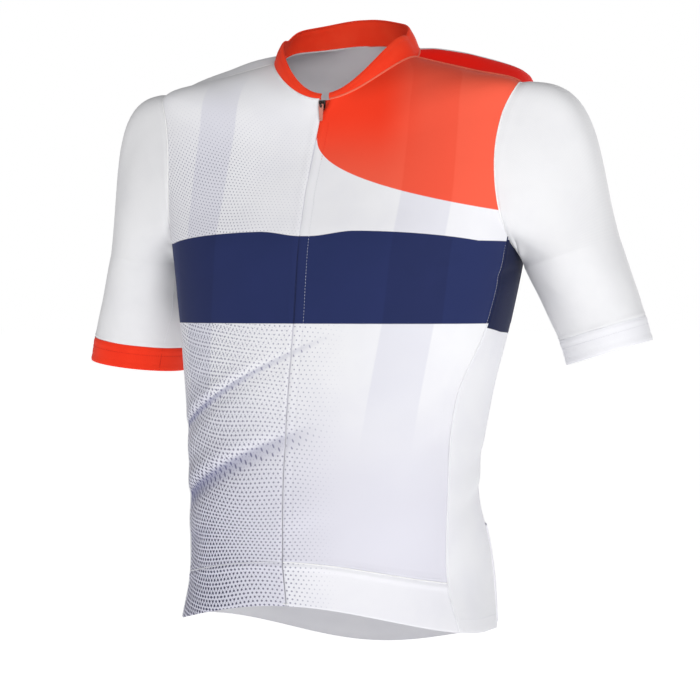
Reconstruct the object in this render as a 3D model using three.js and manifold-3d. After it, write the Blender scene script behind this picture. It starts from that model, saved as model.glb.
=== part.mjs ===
// Short-sleeved cycling jersey in its worn, hollow shape, in millimetres.
// +Z is up, the front faces -Y, and its left, as worn, is +X.
// The origin is the middle of the neck opening, level with the tops of the shoulder seams.
// Every cloth piece is a wall: an outer surface, and the same surface moved in by the wall's thickness.
import * as THREE from 'three';
import { mergeVertices } from 'three/addons/utils/BufferGeometryUtils.js';
import Module from 'manifold-3d';

const wasm = await Module();
wasm.setup();

// Driving sizes
const WALL = 1.4;
const SEAM_INSET = 0.2;
const DEG = Math.PI / 180;

// Level rings round the body, from the hem up over the shoulders to the neck seam.
// Each has its height at the front, side and back, its half width, and its depth at those three places.
// "roundFront" and "roundBack" are the exponents of its two half ovals, and "ridge" is how far the
// cloth rises just behind the shoulder seam.
const named = (columns) => (row) => Object.fromEntries(columns.map((name, i) => [name, row[i]]));
const RING_COLUMNS = ['at', 'zFront', 'zSide', 'zBack', 'half', 'yFront', 'ySide', 'yBack'];
RING_COLUMNS.push('roundFront', 'roundBack', 'ridge');
const RINGS = [
  ['hem', -558, -590, -622, 166, -131, -6, 95, 2.0, 3.0, 0],
  ['hips', -512, -538, -562, 157, -132, -2, 104, 2.0, 3.4, 0],
  ['waist', -455, -460, -465, 152, -130, -7, 80, 2.3, 2.5, 0],
  ['ribs', -355, -355, -355, 161, -119, 6, 104, 2.4, 2.4, 0],
  ['band', -278, -278, -275, 175, -106, 20, 124, 2.5, 2.5, 0],
  ['armpit', -200, -203, -198, 187, -91, 28, 138, 2.7, 2.7, 0],
  ['chest', -160, -162, -150, 192, -75, 23, 142, 2.9, 2.9, 0],
  ['armhole', -127, -112, -105, 198, -61, 16, 143, 3.0, 3.0, 2],
  ['upper_arm', -102, -66, -62, 201, -51, 11, 136, 2.9, 2.9, 6],
  ['tip', -84, -35, -30, 197, -46, 8, 124, 2.7, 2.7, 14],
  ['shoulder', -68, -20, -6, 143, -43, 14, 108, 2.4, 2.4, 19],
  ['yoke', -57, -9, 9, 100, -42, 20, 96, 2.2, 2.2, 15],
  ['neck', -50, -3, 17, 78, -42, 25, 88, 2.0, 2.0, 9],
].map(named(RING_COLUMNS));

// The side seams, as shares of the quarter round from centre front (0) to side (1) to centre back (2).
const SIDE_SEAMS = [
  { at: 'hem', front: 0.78, back: 1.22 },
  { at: 'hips', front: 0.735, back: 1.21 },
  { at: 'waist', front: 0.755, back: 1.2 },
  { at: 'ribs', front: 0.735, back: 1.18 },
  { at: 'band', front: 0.835, back: 1.155 },
];

// The armhole is an oval on that surface, from the armpit ring to the shoulder tip.
const ARMHOLE = { front: 0.22, back: 0.25, seamAngle: -55 };

const HEM_BAND = 50;
const ZIP = { halfGap: 1.7, openGap: 5.6, openLength: 42 };
const TAPE = { half: 12, thick: 0.8, clear: 0.5, parting: 0.15, coilHalf: 1.3, coilDepth: 0.35, endGap: 0.5 };
const COLLAR = { half: 67, yFront: -40, ySide: 21, yBack: 80, zFront: -43, zSide: 20, zBack: 45, ridge: 9 };

// Rings across each sleeve: middle, size across and front to back, and how far the oval is askew.
// "axis" is the way down the arm that the rings stand square to; x is outwards on both sides.
const SLEEVES = {
  left: {
    axis: [0.295, 0.06, -1],
    rings: [
      { at: 'biceps', x: 238, y: 52, z: -208, across: 52, deep: 58, skew: 3 },
      { at: 'lower_arm', x: 254, y: 62, z: -252, across: 50, deep: 54, skew: 5 },
      { at: 'cuff_seam', x: 264.5, y: 70, z: -284.5, across: 49, deep: 51, skew: 6 },
      { at: 'cuff_end', x: 271, y: 74, z: -309, across: 49, deep: 50, skew: 6 },
    ],
  },
  right: {
    axis: [0.16, 0.06, -1],
    rings: [
      { at: 'biceps', x: 234, y: 52, z: -210, across: 47, deep: 58, skew: 3 },
      { at: 'lower_arm', x: 246, y: 62, z: -260, across: 50, deep: 54, skew: 5 },
      { at: 'cuff_seam', x: 261, y: 70, z: -301, across: 49, deep: 51, skew: 6 },
      { at: 'cuff_end', x: 268, y: 74, z: -326, across: 49, deep: 50, skew: 6 },
    ],
  },
};
const CUFF_GAP = 0.3;

// The deepest creases, as lines seen from the front: the cloth drops along them and fades out at the ends.
const CREASES = [
  { x1: -168, z1: -398, x2: 22, z2: -296, depth: 5.0, width: 12, deepEnd: 0.12 },
  { x1: -160, z1: -470, x2: 26, z2: -378, depth: 5.5, width: 13, deepEnd: 0.2 },
  { x1: -158, z1: -428, x2: -70, z2: -392, depth: 2.0, width: 9, deepEnd: 0.3 },
  { x1: 150, z1: -214, x2: 188, z2: -200, depth: 1.8, width: 7, deepEnd: 0.8 },
  { x1: 146, z1: -238, x2: 186, z2: -216, depth: 1.4, width: 7, deepEnd: 0.8 },
];

// Grid steps
const STEPS = { across: 13, backAcross: 20, side: 5, band: 3, body: 15, armhole: 9, shoulder: 5 };
STEPS.cap = 7;
STEPS.tube = 4;

const lerp = (a, b, t) => a + (b - a) * t;
const clamp01 = (t) => Math.min(1, Math.max(0, t));
const smooth = (t) => clamp01(t) ** 2 * (3 - 2 * clamp01(t));

// A smooth curve through the values of one column, at the given stations.
function column(stations, values) {
  const last = stations.length - 1;
  const slopes = values.map((_, i) => {
    const a = Math.max(0, i - 1);
    const b = Math.min(last, i + 1);
    return (values[b] - values[a]) / (stations[b] - stations[a]);
  });
  return (s) => {
    let i = 0;
    while (i < last - 1 && s > stations[i + 1]) i += 1;
    const h = stations[i + 1] - stations[i];
    const t = (s - stations[i]) / h;
    const t2 = t * t;
    const t3 = t2 * t;
    return (
      (2 * t3 - 3 * t2 + 1) * values[i] +
      (t3 - 2 * t2 + t) * h * slopes[i] +
      (3 * t2 - 2 * t3) * values[i + 1] +
      (t3 - t2) * h * slopes[i + 1]
    );
  };
}

// How far up the cloth each ring lies, measured along it from the hem.
const stations = [0];
for (let i = 1; i < RINGS.length; i += 1) {
  const a = RINGS[i - 1];
  const b = RINGS[i];
  const front = Math.hypot(b.zFront - a.zFront, b.yFront - a.yFront);
  const side = Math.hypot(b.zSide - a.zSide, b.half - a.half);
  const back = Math.hypot(b.zBack - a.zBack, b.yBack - a.yBack);
  stations.push(stations[i - 1] + (front + side + back) / 3);
}
const stationOf = (name) => stations[RINGS.findIndex((r) => r.at === name)];
const ringColumns = {};
for (const key of Object.keys(RINGS[0]).filter((k) => k !== 'at')) {
  ringColumns[key] = column(stations, RINGS.map((r) => r[key]));
}
const NECK = stationOf('neck');
const TIP = stationOf('tip');
const ARMPIT = stationOf('armpit');
const ARMHOLE_MIDDLE = (TIP + ARMPIT) / 2;
const ARMHOLE_HALF = (TIP - ARMPIT) / 2;

// One quarter of an oval, from its centre line to its side, looked up by share of its length.
const QUARTER_STEPS = 64;
function quarter(half, depth, square) {
  const points = [];
  for (let i = 0; i <= QUARTER_STEPS; i += 1) {
    const angle = (i / QUARTER_STEPS) * 90 * DEG;
    const c = Math.max(0, Math.cos(angle));
    const s = Math.sin(angle);
    const r = ((c / depth) ** square + (s / half) ** square) ** (-1 / square);
    points.push([r * s, r * c]);
  }
  const lengths = [0];
  for (let i = 1; i <= QUARTER_STEPS; i += 1) {
    const dx = points[i][0] - points[i - 1][0];
    const dy = points[i][1] - points[i - 1][1];
    lengths.push(lengths[i - 1] + Math.hypot(dx, dy));
  }
  const total = lengths[QUARTER_STEPS];
  const at = (share) => {
    const want = clamp01(share) * total;
    let i = 0;
    while (i < QUARTER_STEPS - 1 && lengths[i + 1] < want) i += 1;
    const t = (want - lengths[i]) / (lengths[i + 1] - lengths[i]);
    return [lerp(points[i][0], points[i + 1][0], t), lerp(points[i][1], points[i + 1][1], t)];
  };
  return { at, total };
}

const ringCache = new Map();
function ringAt(w) {
  const key = w.toFixed(4);
  if (!ringCache.has(key)) {
    const r = {};
    for (const name of Object.keys(ringColumns)) r[name] = ringColumns[name](w);
    r.frontQuarter = quarter(r.half, r.ySide - r.yFront, r.roundFront);
    r.backQuarter = quarter(r.half, r.yBack - r.ySide, r.roundBack);
    ringCache.set(key, r);
  }
  return ringCache.get(key);
}

// The rise behind the shoulder seam: nothing at the seam, highest a quarter of the way to the back.
const RIDGE_AT = 0.28;
const ridgeShape = (v) => (v / RIDGE_AT) ** 2 * Math.exp(2 * (1 - v / RIDGE_AT));

// A point of the smooth body: u from -2 to 2 round it (0 is centre front), w the station up it.
function bodyPoint(u, w) {
  const side = u < 0 ? -1 : 1;
  const v = Math.abs(u);
  const r = ringAt(w);
  if (v <= 1) {
    const [x, d] = r.frontQuarter.at(v);
    const z = lerp(r.zSide, r.zFront, Math.cos(v * 90 * DEG) ** 2);
    return new THREE.Vector3(side * x, r.ySide - d, z);
  }
  const [x, d] = r.backQuarter.at(2 - v);
  const z = lerp(r.zSide, r.zBack, Math.cos((2 - v) * 90 * DEG) ** 2) + r.ridge * ridgeShape(v - 1);
  return new THREE.Vector3(side * x, r.ySide + d, z);
}

const STEP_U = 0.004;
const STEP_W = 1;
function bodyNormal(u, w) {
  const w1 = Math.min(NECK, w + STEP_W);
  const w0 = Math.max(0, w - STEP_W);
  const along = bodyPoint(u + STEP_U, w).sub(bodyPoint(u - STEP_U, w));
  const up = bodyPoint(u, w1).sub(bodyPoint(u, w0));
  return along.cross(up).normalize();
}

// How far the creases draw the cloth in at a place.
function creaseDepth(p) {
  let depth = 0;
  if (p.y > 40) return 0;
  for (const c of CREASES) {
    const dx = c.x2 - c.x1;
    const dz = c.z2 - c.z1;
    const length = Math.hypot(dx, dz);
    const t = ((p.x - c.x1) * dx + (p.z - c.z1) * dz) / length ** 2;
    if (t <= 0 || t >= 1) continue;
    const off = ((p.x - c.x1) * dz - (p.z - c.z1) * dx) / length;
    const fade = smooth(t / c.deepEnd) * smooth((1 - t) / (1 - c.deepEnd));
    depth += c.depth * fade * Math.exp(-((off / c.width) ** 2));
  }
  return depth;
}

// The cloth at (u, w), moved out along its normal by "out" from the outer surface.
function clothPoint(u, w, out = 0) {
  const p = bodyPoint(u, w);
  const n = bodyNormal(u, w);
  return p.addScaledVector(n, out - creaseDepth(p));
}

const seamStations = SIDE_SEAMS.map((s) => stationOf(s.at));
const JOIN_SIN = Math.sin(ARMHOLE.seamAngle * DEG);
const JOIN_COS = Math.cos(ARMHOLE.seamAngle * DEG);
const JOIN = ARMHOLE_MIDDLE + ARMHOLE_HALF * JOIN_SIN;
const frontSeam = column(
  [...seamStations, JOIN],
  [...SIDE_SEAMS.map((s) => s.front), 1 - ARMHOLE.front * JOIN_COS],
);
const backSeam = column(
  [...seamStations, JOIN],
  [...SIDE_SEAMS.map((s) => s.back), 1 + ARMHOLE.back * JOIN_COS],
);

// A place on the armhole's edge: 90 degrees is the shoulder, -90 the armpit, 0 the front.
function armholeAt(angle) {
  const c = Math.cos(angle * DEG);
  const reach = c >= 0 ? ARMHOLE.front : ARMHOLE.back;
  return { u: 1 - reach * c, w: ARMHOLE_MIDDLE + ARMHOLE_HALF * Math.sin(angle * DEG) };
}

// The rows that the body pieces share, so that neighbours meet along the same line.
function bodyRows() {
  const rows = [];
  for (let i = 0; i <= STEPS.band; i += 1) rows.push({ w: (HEM_BAND * i) / STEPS.band });
  for (let i = 1; i <= STEPS.body; i += 1) rows.push({ w: lerp(HEM_BAND, JOIN, i / STEPS.body) });
  for (const row of rows) {
    row.front = frontSeam(row.w);
    row.back = backSeam(row.w);
  }
  for (let i = 1; i <= STEPS.armhole; i += 1) {
    const angle = lerp(ARMHOLE.seamAngle, 90, i / STEPS.armhole);
    const { u, w } = armholeAt(angle);
    rows.push({ w, front: u, back: armholeAt(180 - angle).u });
  }
  for (let i = 1; i <= STEPS.shoulder; i += 1) {
    rows.push({ w: lerp(TIP, NECK, i / STEPS.shoulder), front: 1, back: 1 });
  }
  return rows;
}
const ROWS = bodyRows();

// Turns an outer and an inner grid of points into one closed wall. "ring" closes each row on itself.
// Each four-sided cell is split along its shorter diagonal.
function wall(outer, inner, ring = false) {
  const rows = outer.length;
  const columns = outer[0].length;
  const points = [...outer.flat(), ...inner.flat()];
  const shift = rows * columns;
  const index = [];
  const quad = (a, b, c, d) => index.push(a, b, c, a, c, d);
  const skewQuad = (a, b, c, d) => index.push(b, c, d, b, d, a);
  const id = (i, j) => i * columns + (j % columns);
  const lastColumn = ring ? columns : columns - 1;
  for (let i = 0; i < rows - 1; i += 1) {
    for (let j = 0; j < lastColumn; j += 1) {
      const [a, b, c, d] = [id(i, j), id(i, j + 1), id(i + 1, j + 1), id(i + 1, j)];
      const split = points[a].distanceTo(points[c]) <= points[b].distanceTo(points[d]) ? quad : skewQuad;
      split(a, b, c, d);
      split(a + shift, d + shift, c + shift, b + shift);
    }
  }
  for (let j = 0; j < lastColumn; j += 1) {
    quad(id(0, j + 1), id(0, j), id(0, j) + shift, id(0, j + 1) + shift);
    const top = rows - 1;
    quad(id(top, j), id(top, j + 1), id(top, j + 1) + shift, id(top, j) + shift);
  }
  if (!ring) {
    for (let i = 0; i < rows - 1; i += 1) {
      const end = columns - 1;
      quad(id(i, 0), id(i + 1, 0), id(i + 1, 0) + shift, id(i, 0) + shift);
      quad(id(i + 1, end), id(i, end), id(i, end) + shift, id(i + 1, end) + shift);
    }
  }
  return facingOut(points, index);
}

// Six times the volume that the triangles enclose: negative where they face in.
function signedVolume(points, index) {
  let sum = 0;
  const cross = new THREE.Vector3();
  for (let i = 0; i < index.length; i += 3) {
    cross.crossVectors(points[index[i + 1]], points[index[i + 2]]);
    sum += points[index[i]].dot(cross);
  }
  return sum;
}

function facingOut(points, index) {
  if (signedVolume(points, index) < 0) index.reverse();
  const geometry = new THREE.BufferGeometry();
  geometry.setAttribute('position', new THREE.Float32BufferAttribute(points.flatMap((p) => p.toArray()), 3));
  geometry.setIndex(index);
  geometry.computeVertexNormals();
  return geometry;
}

// The half gap at the front edge: closed over the zip, parted in a V below the collar.
function frontEdge(w) {
  const open = smooth(1 - (NECK - w) / ZIP.openLength);
  return lerp(ZIP.halfGap, ZIP.openGap, open) / ringAt(w).frontQuarter.total;
}
const insetU = (w) => SEAM_INSET / ringAt(w).frontQuarter.total;

// A body piece from a list of rows, each with the places across it.
function bodyPiece(rows, out = 0, thickness = WALL) {
  const outer = rows.map((row) => row.map(({ u, w }) => clothPoint(u, w, out)));
  const inner = rows.map((row) => row.map(({ u, w }) => clothPoint(u, w, out - thickness)));
  return wall(outer, inner);
}

function across(from, to, w, steps) {
  return Array.from({ length: steps + 1 }, (_, j) => ({ u: lerp(from, to, j / steps), w }));
}

function frontPanel(side) {
  const rows = ROWS.filter((r) => r.w >= HEM_BAND - 1e-6).map((r, i, all) => {
    const nudge = i === 0 ? SEAM_INSET : i === all.length - 1 ? -SEAM_INSET : 0;
    const w = r.w + nudge;
    return across(side * frontEdge(w), side * (r.front - insetU(w)), w, STEPS.across);
  });
  return bodyPiece(rows);
}

function hemBand(side) {
  const rows = ROWS.slice(0, STEPS.band + 1).map((r, i) => {
    const w = r.w - (i === STEPS.band ? SEAM_INSET : 0);
    return across(side * frontEdge(w), side * (r.front - insetU(w)), w, STEPS.across);
  });
  return bodyPiece(rows);
}

function backPanel() {
  const rows = ROWS.map((r, i) => {
    const w = r.w - (i === ROWS.length - 1 ? SEAM_INSET : 0);
    const from = r.back + insetU(w);
    return Array.from({ length: STEPS.backAcross + 1 }, (_, j) => {
      const v = lerp(from, 4 - from, j / STEPS.backAcross);
      return { u: v <= 2 ? v : v - 4, w };
    });
  });
  return bodyPiece(rows);
}

// The narrow panel under the arm: its top edge is the foot of the armhole.
function sidePanel(side) {
  const bodyCount = STEPS.band + STEPS.body + 1;
  const joinFront = frontSeam(JOIN);
  const joinBack = backSeam(JOIN);
  const rows = ROWS.slice(0, bodyCount).map((r) => {
    const share = r.w / JOIN;
    return Array.from({ length: STEPS.side + 1 }, (_, j) => {
      const a = j / STEPS.side;
      const top = armholeAt(lerp(ARMHOLE.seamAngle, -180 - ARMHOLE.seamAngle, a));
      const w = share * (top.w - SEAM_INSET * share);
      const topShare = (top.u - joinFront) / (joinBack - joinFront);
      const inset = insetU(w);
      const u = lerp(r.front + inset, r.back - inset, lerp(a, topShare, share));
      return { u: side * u, w };
    });
  });
  return bodyPiece(rows);
}

// Sleeve. Its first ring follows the armhole at the same places as the body pieces.
function armholeAngles() {
  const angles = [];
  const upper = (90 - ARMHOLE.seamAngle) / STEPS.armhole;
  for (let i = 0; i < STEPS.armhole; i += 1) angles.push(ARMHOLE.seamAngle + i * upper);
  for (let i = 0; i < STEPS.armhole; i += 1) angles.push(90 + i * upper);
  const lower = (180 + 2 * ARMHOLE.seamAngle) / STEPS.side;
  for (let i = 0; i < STEPS.side; i += 1) angles.push(180 - ARMHOLE.seamAngle + i * lower);
  return angles;
}
const SLEEVE_ANGLES = armholeAngles();

// One sleeve, left or right: everything is worked out on the left and mirrored at the end.
function sleeveShape(word) {
  const { axis, rings } = SLEEVES[word];
  const arm = new THREE.Vector3(...axis).normalize();
  const lateral = new THREE.Vector3(1, 0, 0);
  lateral.addScaledVector(arm, -lateral.dot(arm)).normalize();
  const front = new THREE.Vector3().crossVectors(lateral, arm).normalize();
  if (front.y > 0) front.negate();
  const order = rings.map((_, i) => i);
  const tube = {};
  for (const key of ['x', 'y', 'z', 'across', 'deep', 'skew']) {
    tube[key] = column(order, rings.map((r) => r[key]));
  }
  const ringPoint = (s, angle) => {
    const sin = Math.sin(angle * DEG);
    const cos = Math.cos(angle * DEG);
    return new THREE.Vector3(tube.x(s), tube.y(s), tube.z(s))
      .addScaledVector(lateral, tube.across(s) * sin + tube.skew(s) * cos)
      .addScaledVector(front, tube.deep(s) * cos + tube.skew(s) * sin);
  };
  return { arm, rings, ringPoint };
}

// How the cloth leaves the armhole: outwards at the shoulder, along the arm at the armpit.
const LEAVE = { shoulder: 1.0, armpit: 0.12, back: 0.25, rise: 0.12 };
const PULL_START = { foot: 1.0, top: 1.25 };
const PULL_END = { foot: 0.7, top: 1.25 };
// The first ring stands a little clear of the body's cut edge, and outside it at the armpit.
const CLEAR = { along: 0.3, outside: 0.5, from: 0.1, over: 0.6 };
const highness = (angle) => (1 + Math.sin(angle * DEG)) / 2;
function capPoint(shape, angle, t) {
  const { u, w } = armholeAt(angle);
  const high = highness(angle);
  const outward = lerp(LEAVE.armpit, LEAVE.shoulder, high);
  const direction = shape.arm.clone().multiplyScalar(1 - outward);
  direction.addScaledVector(new THREE.Vector3(1, LEAVE.back, LEAVE.rise * high), outward).normalize();
  const low = smooth((-Math.sin(angle * DEG) - CLEAR.from) / CLEAR.over);
  const start = clothPoint(u, w)
    .addScaledVector(direction, CLEAR.along)
    .addScaledVector(bodyNormal(u, w), CLEAR.outside * low);
  const end = shape.ringPoint(0, angle);
  const gap = start.distanceTo(end);
  const t2 = t * t;
  const t3 = t2 * t;
  return start
    .multiplyScalar(2 * t3 - 3 * t2 + 1)
    .addScaledVector(direction, (t3 - 2 * t2 + t) * gap * lerp(PULL_START.foot, PULL_START.top, high))
    .addScaledVector(end, 3 * t2 - 2 * t3)
    .addScaledVector(shape.arm, (t3 - t2) * gap * lerp(PULL_END.foot, PULL_END.top, high));
}

// A point of the sleeve: s from -1 at the armhole, 0 at the biceps, 2 at the cuff seam, 3 at its end.
function sleevePoint(shape, angle, s) {
  return s <= 0 ? capPoint(shape, angle, s + 1) : shape.ringPoint(s, angle);
}

const SLEEVE_STEP = 0.02;
const ANGLE_STEP = 2;
function sleeveNormal(shape, angle, s) {
  const s0 = Math.max(-1, s - SLEEVE_STEP);
  const s1 = Math.min(3, s + SLEEVE_STEP);
  const along = sleevePoint(shape, angle, s1).sub(sleevePoint(shape, angle, s0));
  const round = sleevePoint(shape, angle + ANGLE_STEP, s).sub(sleevePoint(shape, angle - ANGLE_STEP, s));
  return along.cross(round).normalize();
}

// At the armhole the wall is cut like the body's edge where the seam bends over,
// and square to the sleeve where it folds back.
function sleeveWallDirection(shape, angle, s) {
  const own = sleeveNormal(shape, angle, s);
  if (s > -1) return own;
  const { u, w } = armholeAt(angle);
  const body = bodyNormal(u, w);
  return own.lerp(body, smooth((own.dot(body) + 0.1) / 0.5)).normalize();
}

function sleeveTube(word, stationsAlong) {
  const shape = sleeveShape(word);
  const mirror = word === 'left' ? 1 : -1;
  const at = (s, depth) =>
    SLEEVE_ANGLES.map((angle) => {
      const p = sleevePoint(shape, angle, s).addScaledVector(sleeveWallDirection(shape, angle, s), -depth);
      p.x *= mirror;
      return p;
    });
  return wall(
    stationsAlong.map((s) => at(s, 0)),
    stationsAlong.map((s) => at(s, WALL)),
    true,
  );
}

function sleeve(word) {
  const { rings } = SLEEVES[word];
  const spacing = Math.hypot(rings[2].x - rings[1].x, rings[2].y - rings[1].y, rings[2].z - rings[1].z);
  const list = [];
  for (let i = 0; i < STEPS.cap; i += 1) list.push(-1 + i / STEPS.cap);
  const end = 2 - CUFF_GAP / spacing;
  for (let i = 0; i <= STEPS.tube; i += 1) list.push((end * i) / STEPS.tube);
  return sleeveTube(word, list);
}
const cuff = (word) => sleeveTube(word, [2, 2.5, 3]);

// The collar band stands on the neck seam and leans in, low at the front and tall at the back.
const COLLAR_STEPS = { round: 30, up: 3 };
const COLLAR_BULGE = { out: 1.6, fullAt: 20 };
function collarTop(u) {
  const v = Math.abs(u);
  const side = u < 0 ? -1 : 1;
  const depth = v <= 1 ? COLLAR.ySide - COLLAR.yFront : COLLAR.yBack - COLLAR.ySide;
  const [x, d] = quarter(COLLAR.half, depth, 2).at(v <= 1 ? v : 2 - v);
  const y = v <= 1 ? COLLAR.ySide - d : COLLAR.ySide + d;
  const centre = v <= 1 ? COLLAR.zFront : COLLAR.zBack;
  const share = Math.cos((v <= 1 ? v : 2 - v) * 90 * DEG) ** 2;
  const rise = v > 1 ? COLLAR.ridge * ridgeShape(v - 1) : 0;
  return new THREE.Vector3(side * x, y, lerp(COLLAR.zSide, centre, share) + rise);
}
function collarPoint(u, t, depth) {
  const base = bodyPoint(u, NECK);
  base.z += 2 * SEAM_INSET;
  const p = base.clone().lerp(collarTop(u), t);
  const round = bodyPoint(u + 0.01, NECK).sub(bodyPoint(u - 0.01, NECK));
  const up = collarTop(u).sub(base);
  const bulge = COLLAR_BULGE.out * Math.sin(t * Math.PI) * clamp01(up.length() / COLLAR_BULGE.fullAt);
  const n = round.cross(up).normalize();
  return p.addScaledVector(n, bulge - depth);
}
function collar() {
  const edge = frontEdge(NECK);
  const grid = (depth) =>
    Array.from({ length: COLLAR_STEPS.up + 1 }, (_, i) =>
      Array.from({ length: COLLAR_STEPS.round + 1 }, (_unused, j) => {
        const v = lerp(edge, 4 - edge, j / COLLAR_STEPS.round);
        return collarPoint(v <= 2 ? v : v - 4, i / COLLAR_STEPS.up, depth);
      }),
    );
  return wall(grid(0), grid(WALL));
}

// Rear pockets: one panel over the lower back, sewn down at its foot, its sides and two rows between.
// It lies on the same columns as the back, so that the two never cross.
const POCKET = { foot: 6, sideTop: 104, middleTop: 150, lift: 1.0, gape: 2.6, compartments: 3, up: 8 };
function pocketPanel() {
  const grid = (depth) =>
    Array.from({ length: POCKET.up + 1 }, (_, i) => {
      const t = i / POCKET.up;
      return Array.from({ length: STEPS.backAcross + 1 }, (_unused, j) => {
        const a = j / STEPS.backAcross;
        const top = lerp(POCKET.sideTop, POCKET.middleTop, smooth(1.4 * Math.sin(a * Math.PI)));
        const w = lerp(POCKET.foot, top, t);
        const from = backSeam(w) + insetU(w);
        const v = lerp(from, 4 - from, a);
        const stand = POCKET.gape * Math.sin(a * POCKET.compartments * Math.PI) ** 2 * smooth(t);
        return clothPoint(v <= 2 ? v : v - 4, w, POCKET.lift + stand + WALL - depth);
      });
    });
  return wall(grid(0), grid(WALL));
}

// Zip: two tapes behind the front edges, each with half of the coil standing up between them.
function zipTape(side) {
  const back = WALL + TAPE.clear;
  const section = [
    [TAPE.parting, TAPE.coilDepth],
    [TAPE.coilHalf, TAPE.coilDepth],
    [TAPE.coilHalf, back],
    [TAPE.half, back],
    [TAPE.half, back + TAPE.thick],
    [TAPE.parting, back + TAPE.thick],
  ];
  const rows = ROWS.map((r) => Math.min(NECK - TAPE.endGap, Math.max(TAPE.endGap, r.w)));
  const n = section.length;
  const points = [];
  const index = [];
  for (const w of rows) {
    for (const [x, depth] of section) {
      points.push(clothPoint((side * x) / ringAt(w).frontQuarter.total, w, -depth));
    }
  }
  for (let i = 0; i < rows.length - 1; i += 1) {
    for (let j = 0; j < n; j += 1) {
      const k = (j + 1) % n;
      index.push(i * n + j, i * n + k, (i + 1) * n + k);
      index.push(i * n + j, (i + 1) * n + k, (i + 1) * n + j);
    }
  }
  const cap = (base, flip) => {
    const faces = [[0, 1, 2], [0, 2, 5], [2, 3, 4], [2, 4, 5]];
    for (const [a, b, c] of faces) index.push(base + a, base + (flip ? b : c), base + (flip ? c : b));
  };
  cap(0, false);
  cap((rows.length - 1) * n, true);
  return facingOut(points, index);
}

// Slider and pull tab, at the top of the zip
const SLIDER = { width: 7, length: 10, thick: 2, top: -50.5, shoulder: 0.55, foot: 0.62, proud: 0.1 };
const CROWN = { radius: 2.6, hole: 1.15, thick: 1.6, reach: 2.2, below: 4.4 };
const PULL = { thick: 0.9, width: 5, windowHalf: 1.25, bar: 0.45, windowFoot: 3.2, length: 17, tip: 3.4 };
const HINGE_Z = SLIDER.top - CROWN.below;
const SLIDER_BACK = bodyPoint(0, NECK - SLIDER.length / 2).y - SLIDER.proud;
const HINGE_Y = SLIDER_BACK - SLIDER.thick - CROWN.reach;

function toSolid(geometry) {
  const bare = geometry.clone();
  bare.deleteAttribute('normal');
  bare.deleteAttribute('uv');
  const merged = mergeVertices(bare, 1e-4);
  return new wasm.Manifold(
    new wasm.Mesh({
      numProp: 3,
      vertProperties: merged.attributes.position.array,
      triVerts: new Uint32Array(merged.index.array),
    }),
  );
}

function fromSolid(solid) {
  const mesh = solid.getMesh();
  const geometry = new THREE.BufferGeometry();
  geometry.setAttribute('position', new THREE.BufferAttribute(new Float32Array(mesh.vertProperties), 3));
  geometry.setIndex(new THREE.BufferAttribute(new Uint32Array(mesh.triVerts), 1));
  geometry.computeVertexNormals();
  return geometry;
}

function zipSlider() {
  const half = SLIDER.width / 2;
  const plate = new THREE.Shape();
  plate.moveTo(-half, 0);
  plate.lineTo(half, 0);
  plate.lineTo(half, -SLIDER.length * SLIDER.shoulder);
  plate.lineTo(half * SLIDER.foot, -SLIDER.length);
  plate.lineTo(-half * SLIDER.foot, -SLIDER.length);
  plate.lineTo(-half, -SLIDER.length * SLIDER.shoulder);
  plate.closePath();
  const body = new THREE.ExtrudeGeometry(plate, { depth: SLIDER.thick, bevelEnabled: false });
  body.rotateX(90 * DEG);
  body.translate(0, SLIDER_BACK, SLIDER.top);
  const arch = new THREE.Shape();
  arch.absarc(0, 0, CROWN.radius, 0, Math.PI * 2, false);
  const eye = new THREE.Path();
  eye.absarc(0, 0, CROWN.hole, 0, Math.PI * 2, true);
  arch.holes.push(eye);
  const options = { depth: CROWN.thick, bevelEnabled: false, curveSegments: 16 };
  const crown = new THREE.ExtrudeGeometry(arch, options);
  crown.translate(0, 0, -CROWN.thick / 2);
  crown.rotateY(90 * DEG);
  crown.translate(0, HINGE_Y, HINGE_Z);
  return fromSolid(toSolid(body).add(toSolid(crown)));
}

function zipPull() {
  const half = PULL.width / 2;
  const outline = new THREE.Shape();
  outline.moveTo(-half, PULL.bar);
  outline.lineTo(half, PULL.bar);
  outline.lineTo(half, -PULL.windowFoot - 1);
  outline.lineTo(PULL.tip / 2, -PULL.length + 1);
  outline.lineTo(PULL.tip / 2 - 1, -PULL.length);
  outline.lineTo(-PULL.tip / 2 + 1, -PULL.length);
  outline.lineTo(-PULL.tip / 2, -PULL.length + 1);
  outline.lineTo(-half, -PULL.windowFoot - 1);
  outline.closePath();
  const opening = new THREE.Path();
  opening.moveTo(-PULL.windowHalf, -PULL.bar);
  opening.lineTo(-PULL.windowHalf, -PULL.windowFoot);
  opening.lineTo(PULL.windowHalf, -PULL.windowFoot);
  opening.lineTo(PULL.windowHalf, -PULL.bar);
  opening.closePath();
  outline.holes.push(opening);
  const tab = new THREE.ExtrudeGeometry(outline, { depth: PULL.thick, bevelEnabled: false });
  tab.rotateX(90 * DEG);
  tab.translate(0, HINGE_Y + PULL.thick / 2, HINGE_Z);
  return tab;
}

const CLOTH = { white: 0xe9eaec, coral: 0xe8402a, zip: 0xd9dade, metal: 0x4a4644 };
function piece(name, geometry, colour, roughness = 0.75, metalness = 0) {
  const material = new THREE.MeshStandardMaterial({ color: colour, roughness, metalness });
  const mesh = new THREE.Mesh(geometry, material);
  mesh.name = name;
  return mesh;
}

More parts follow.
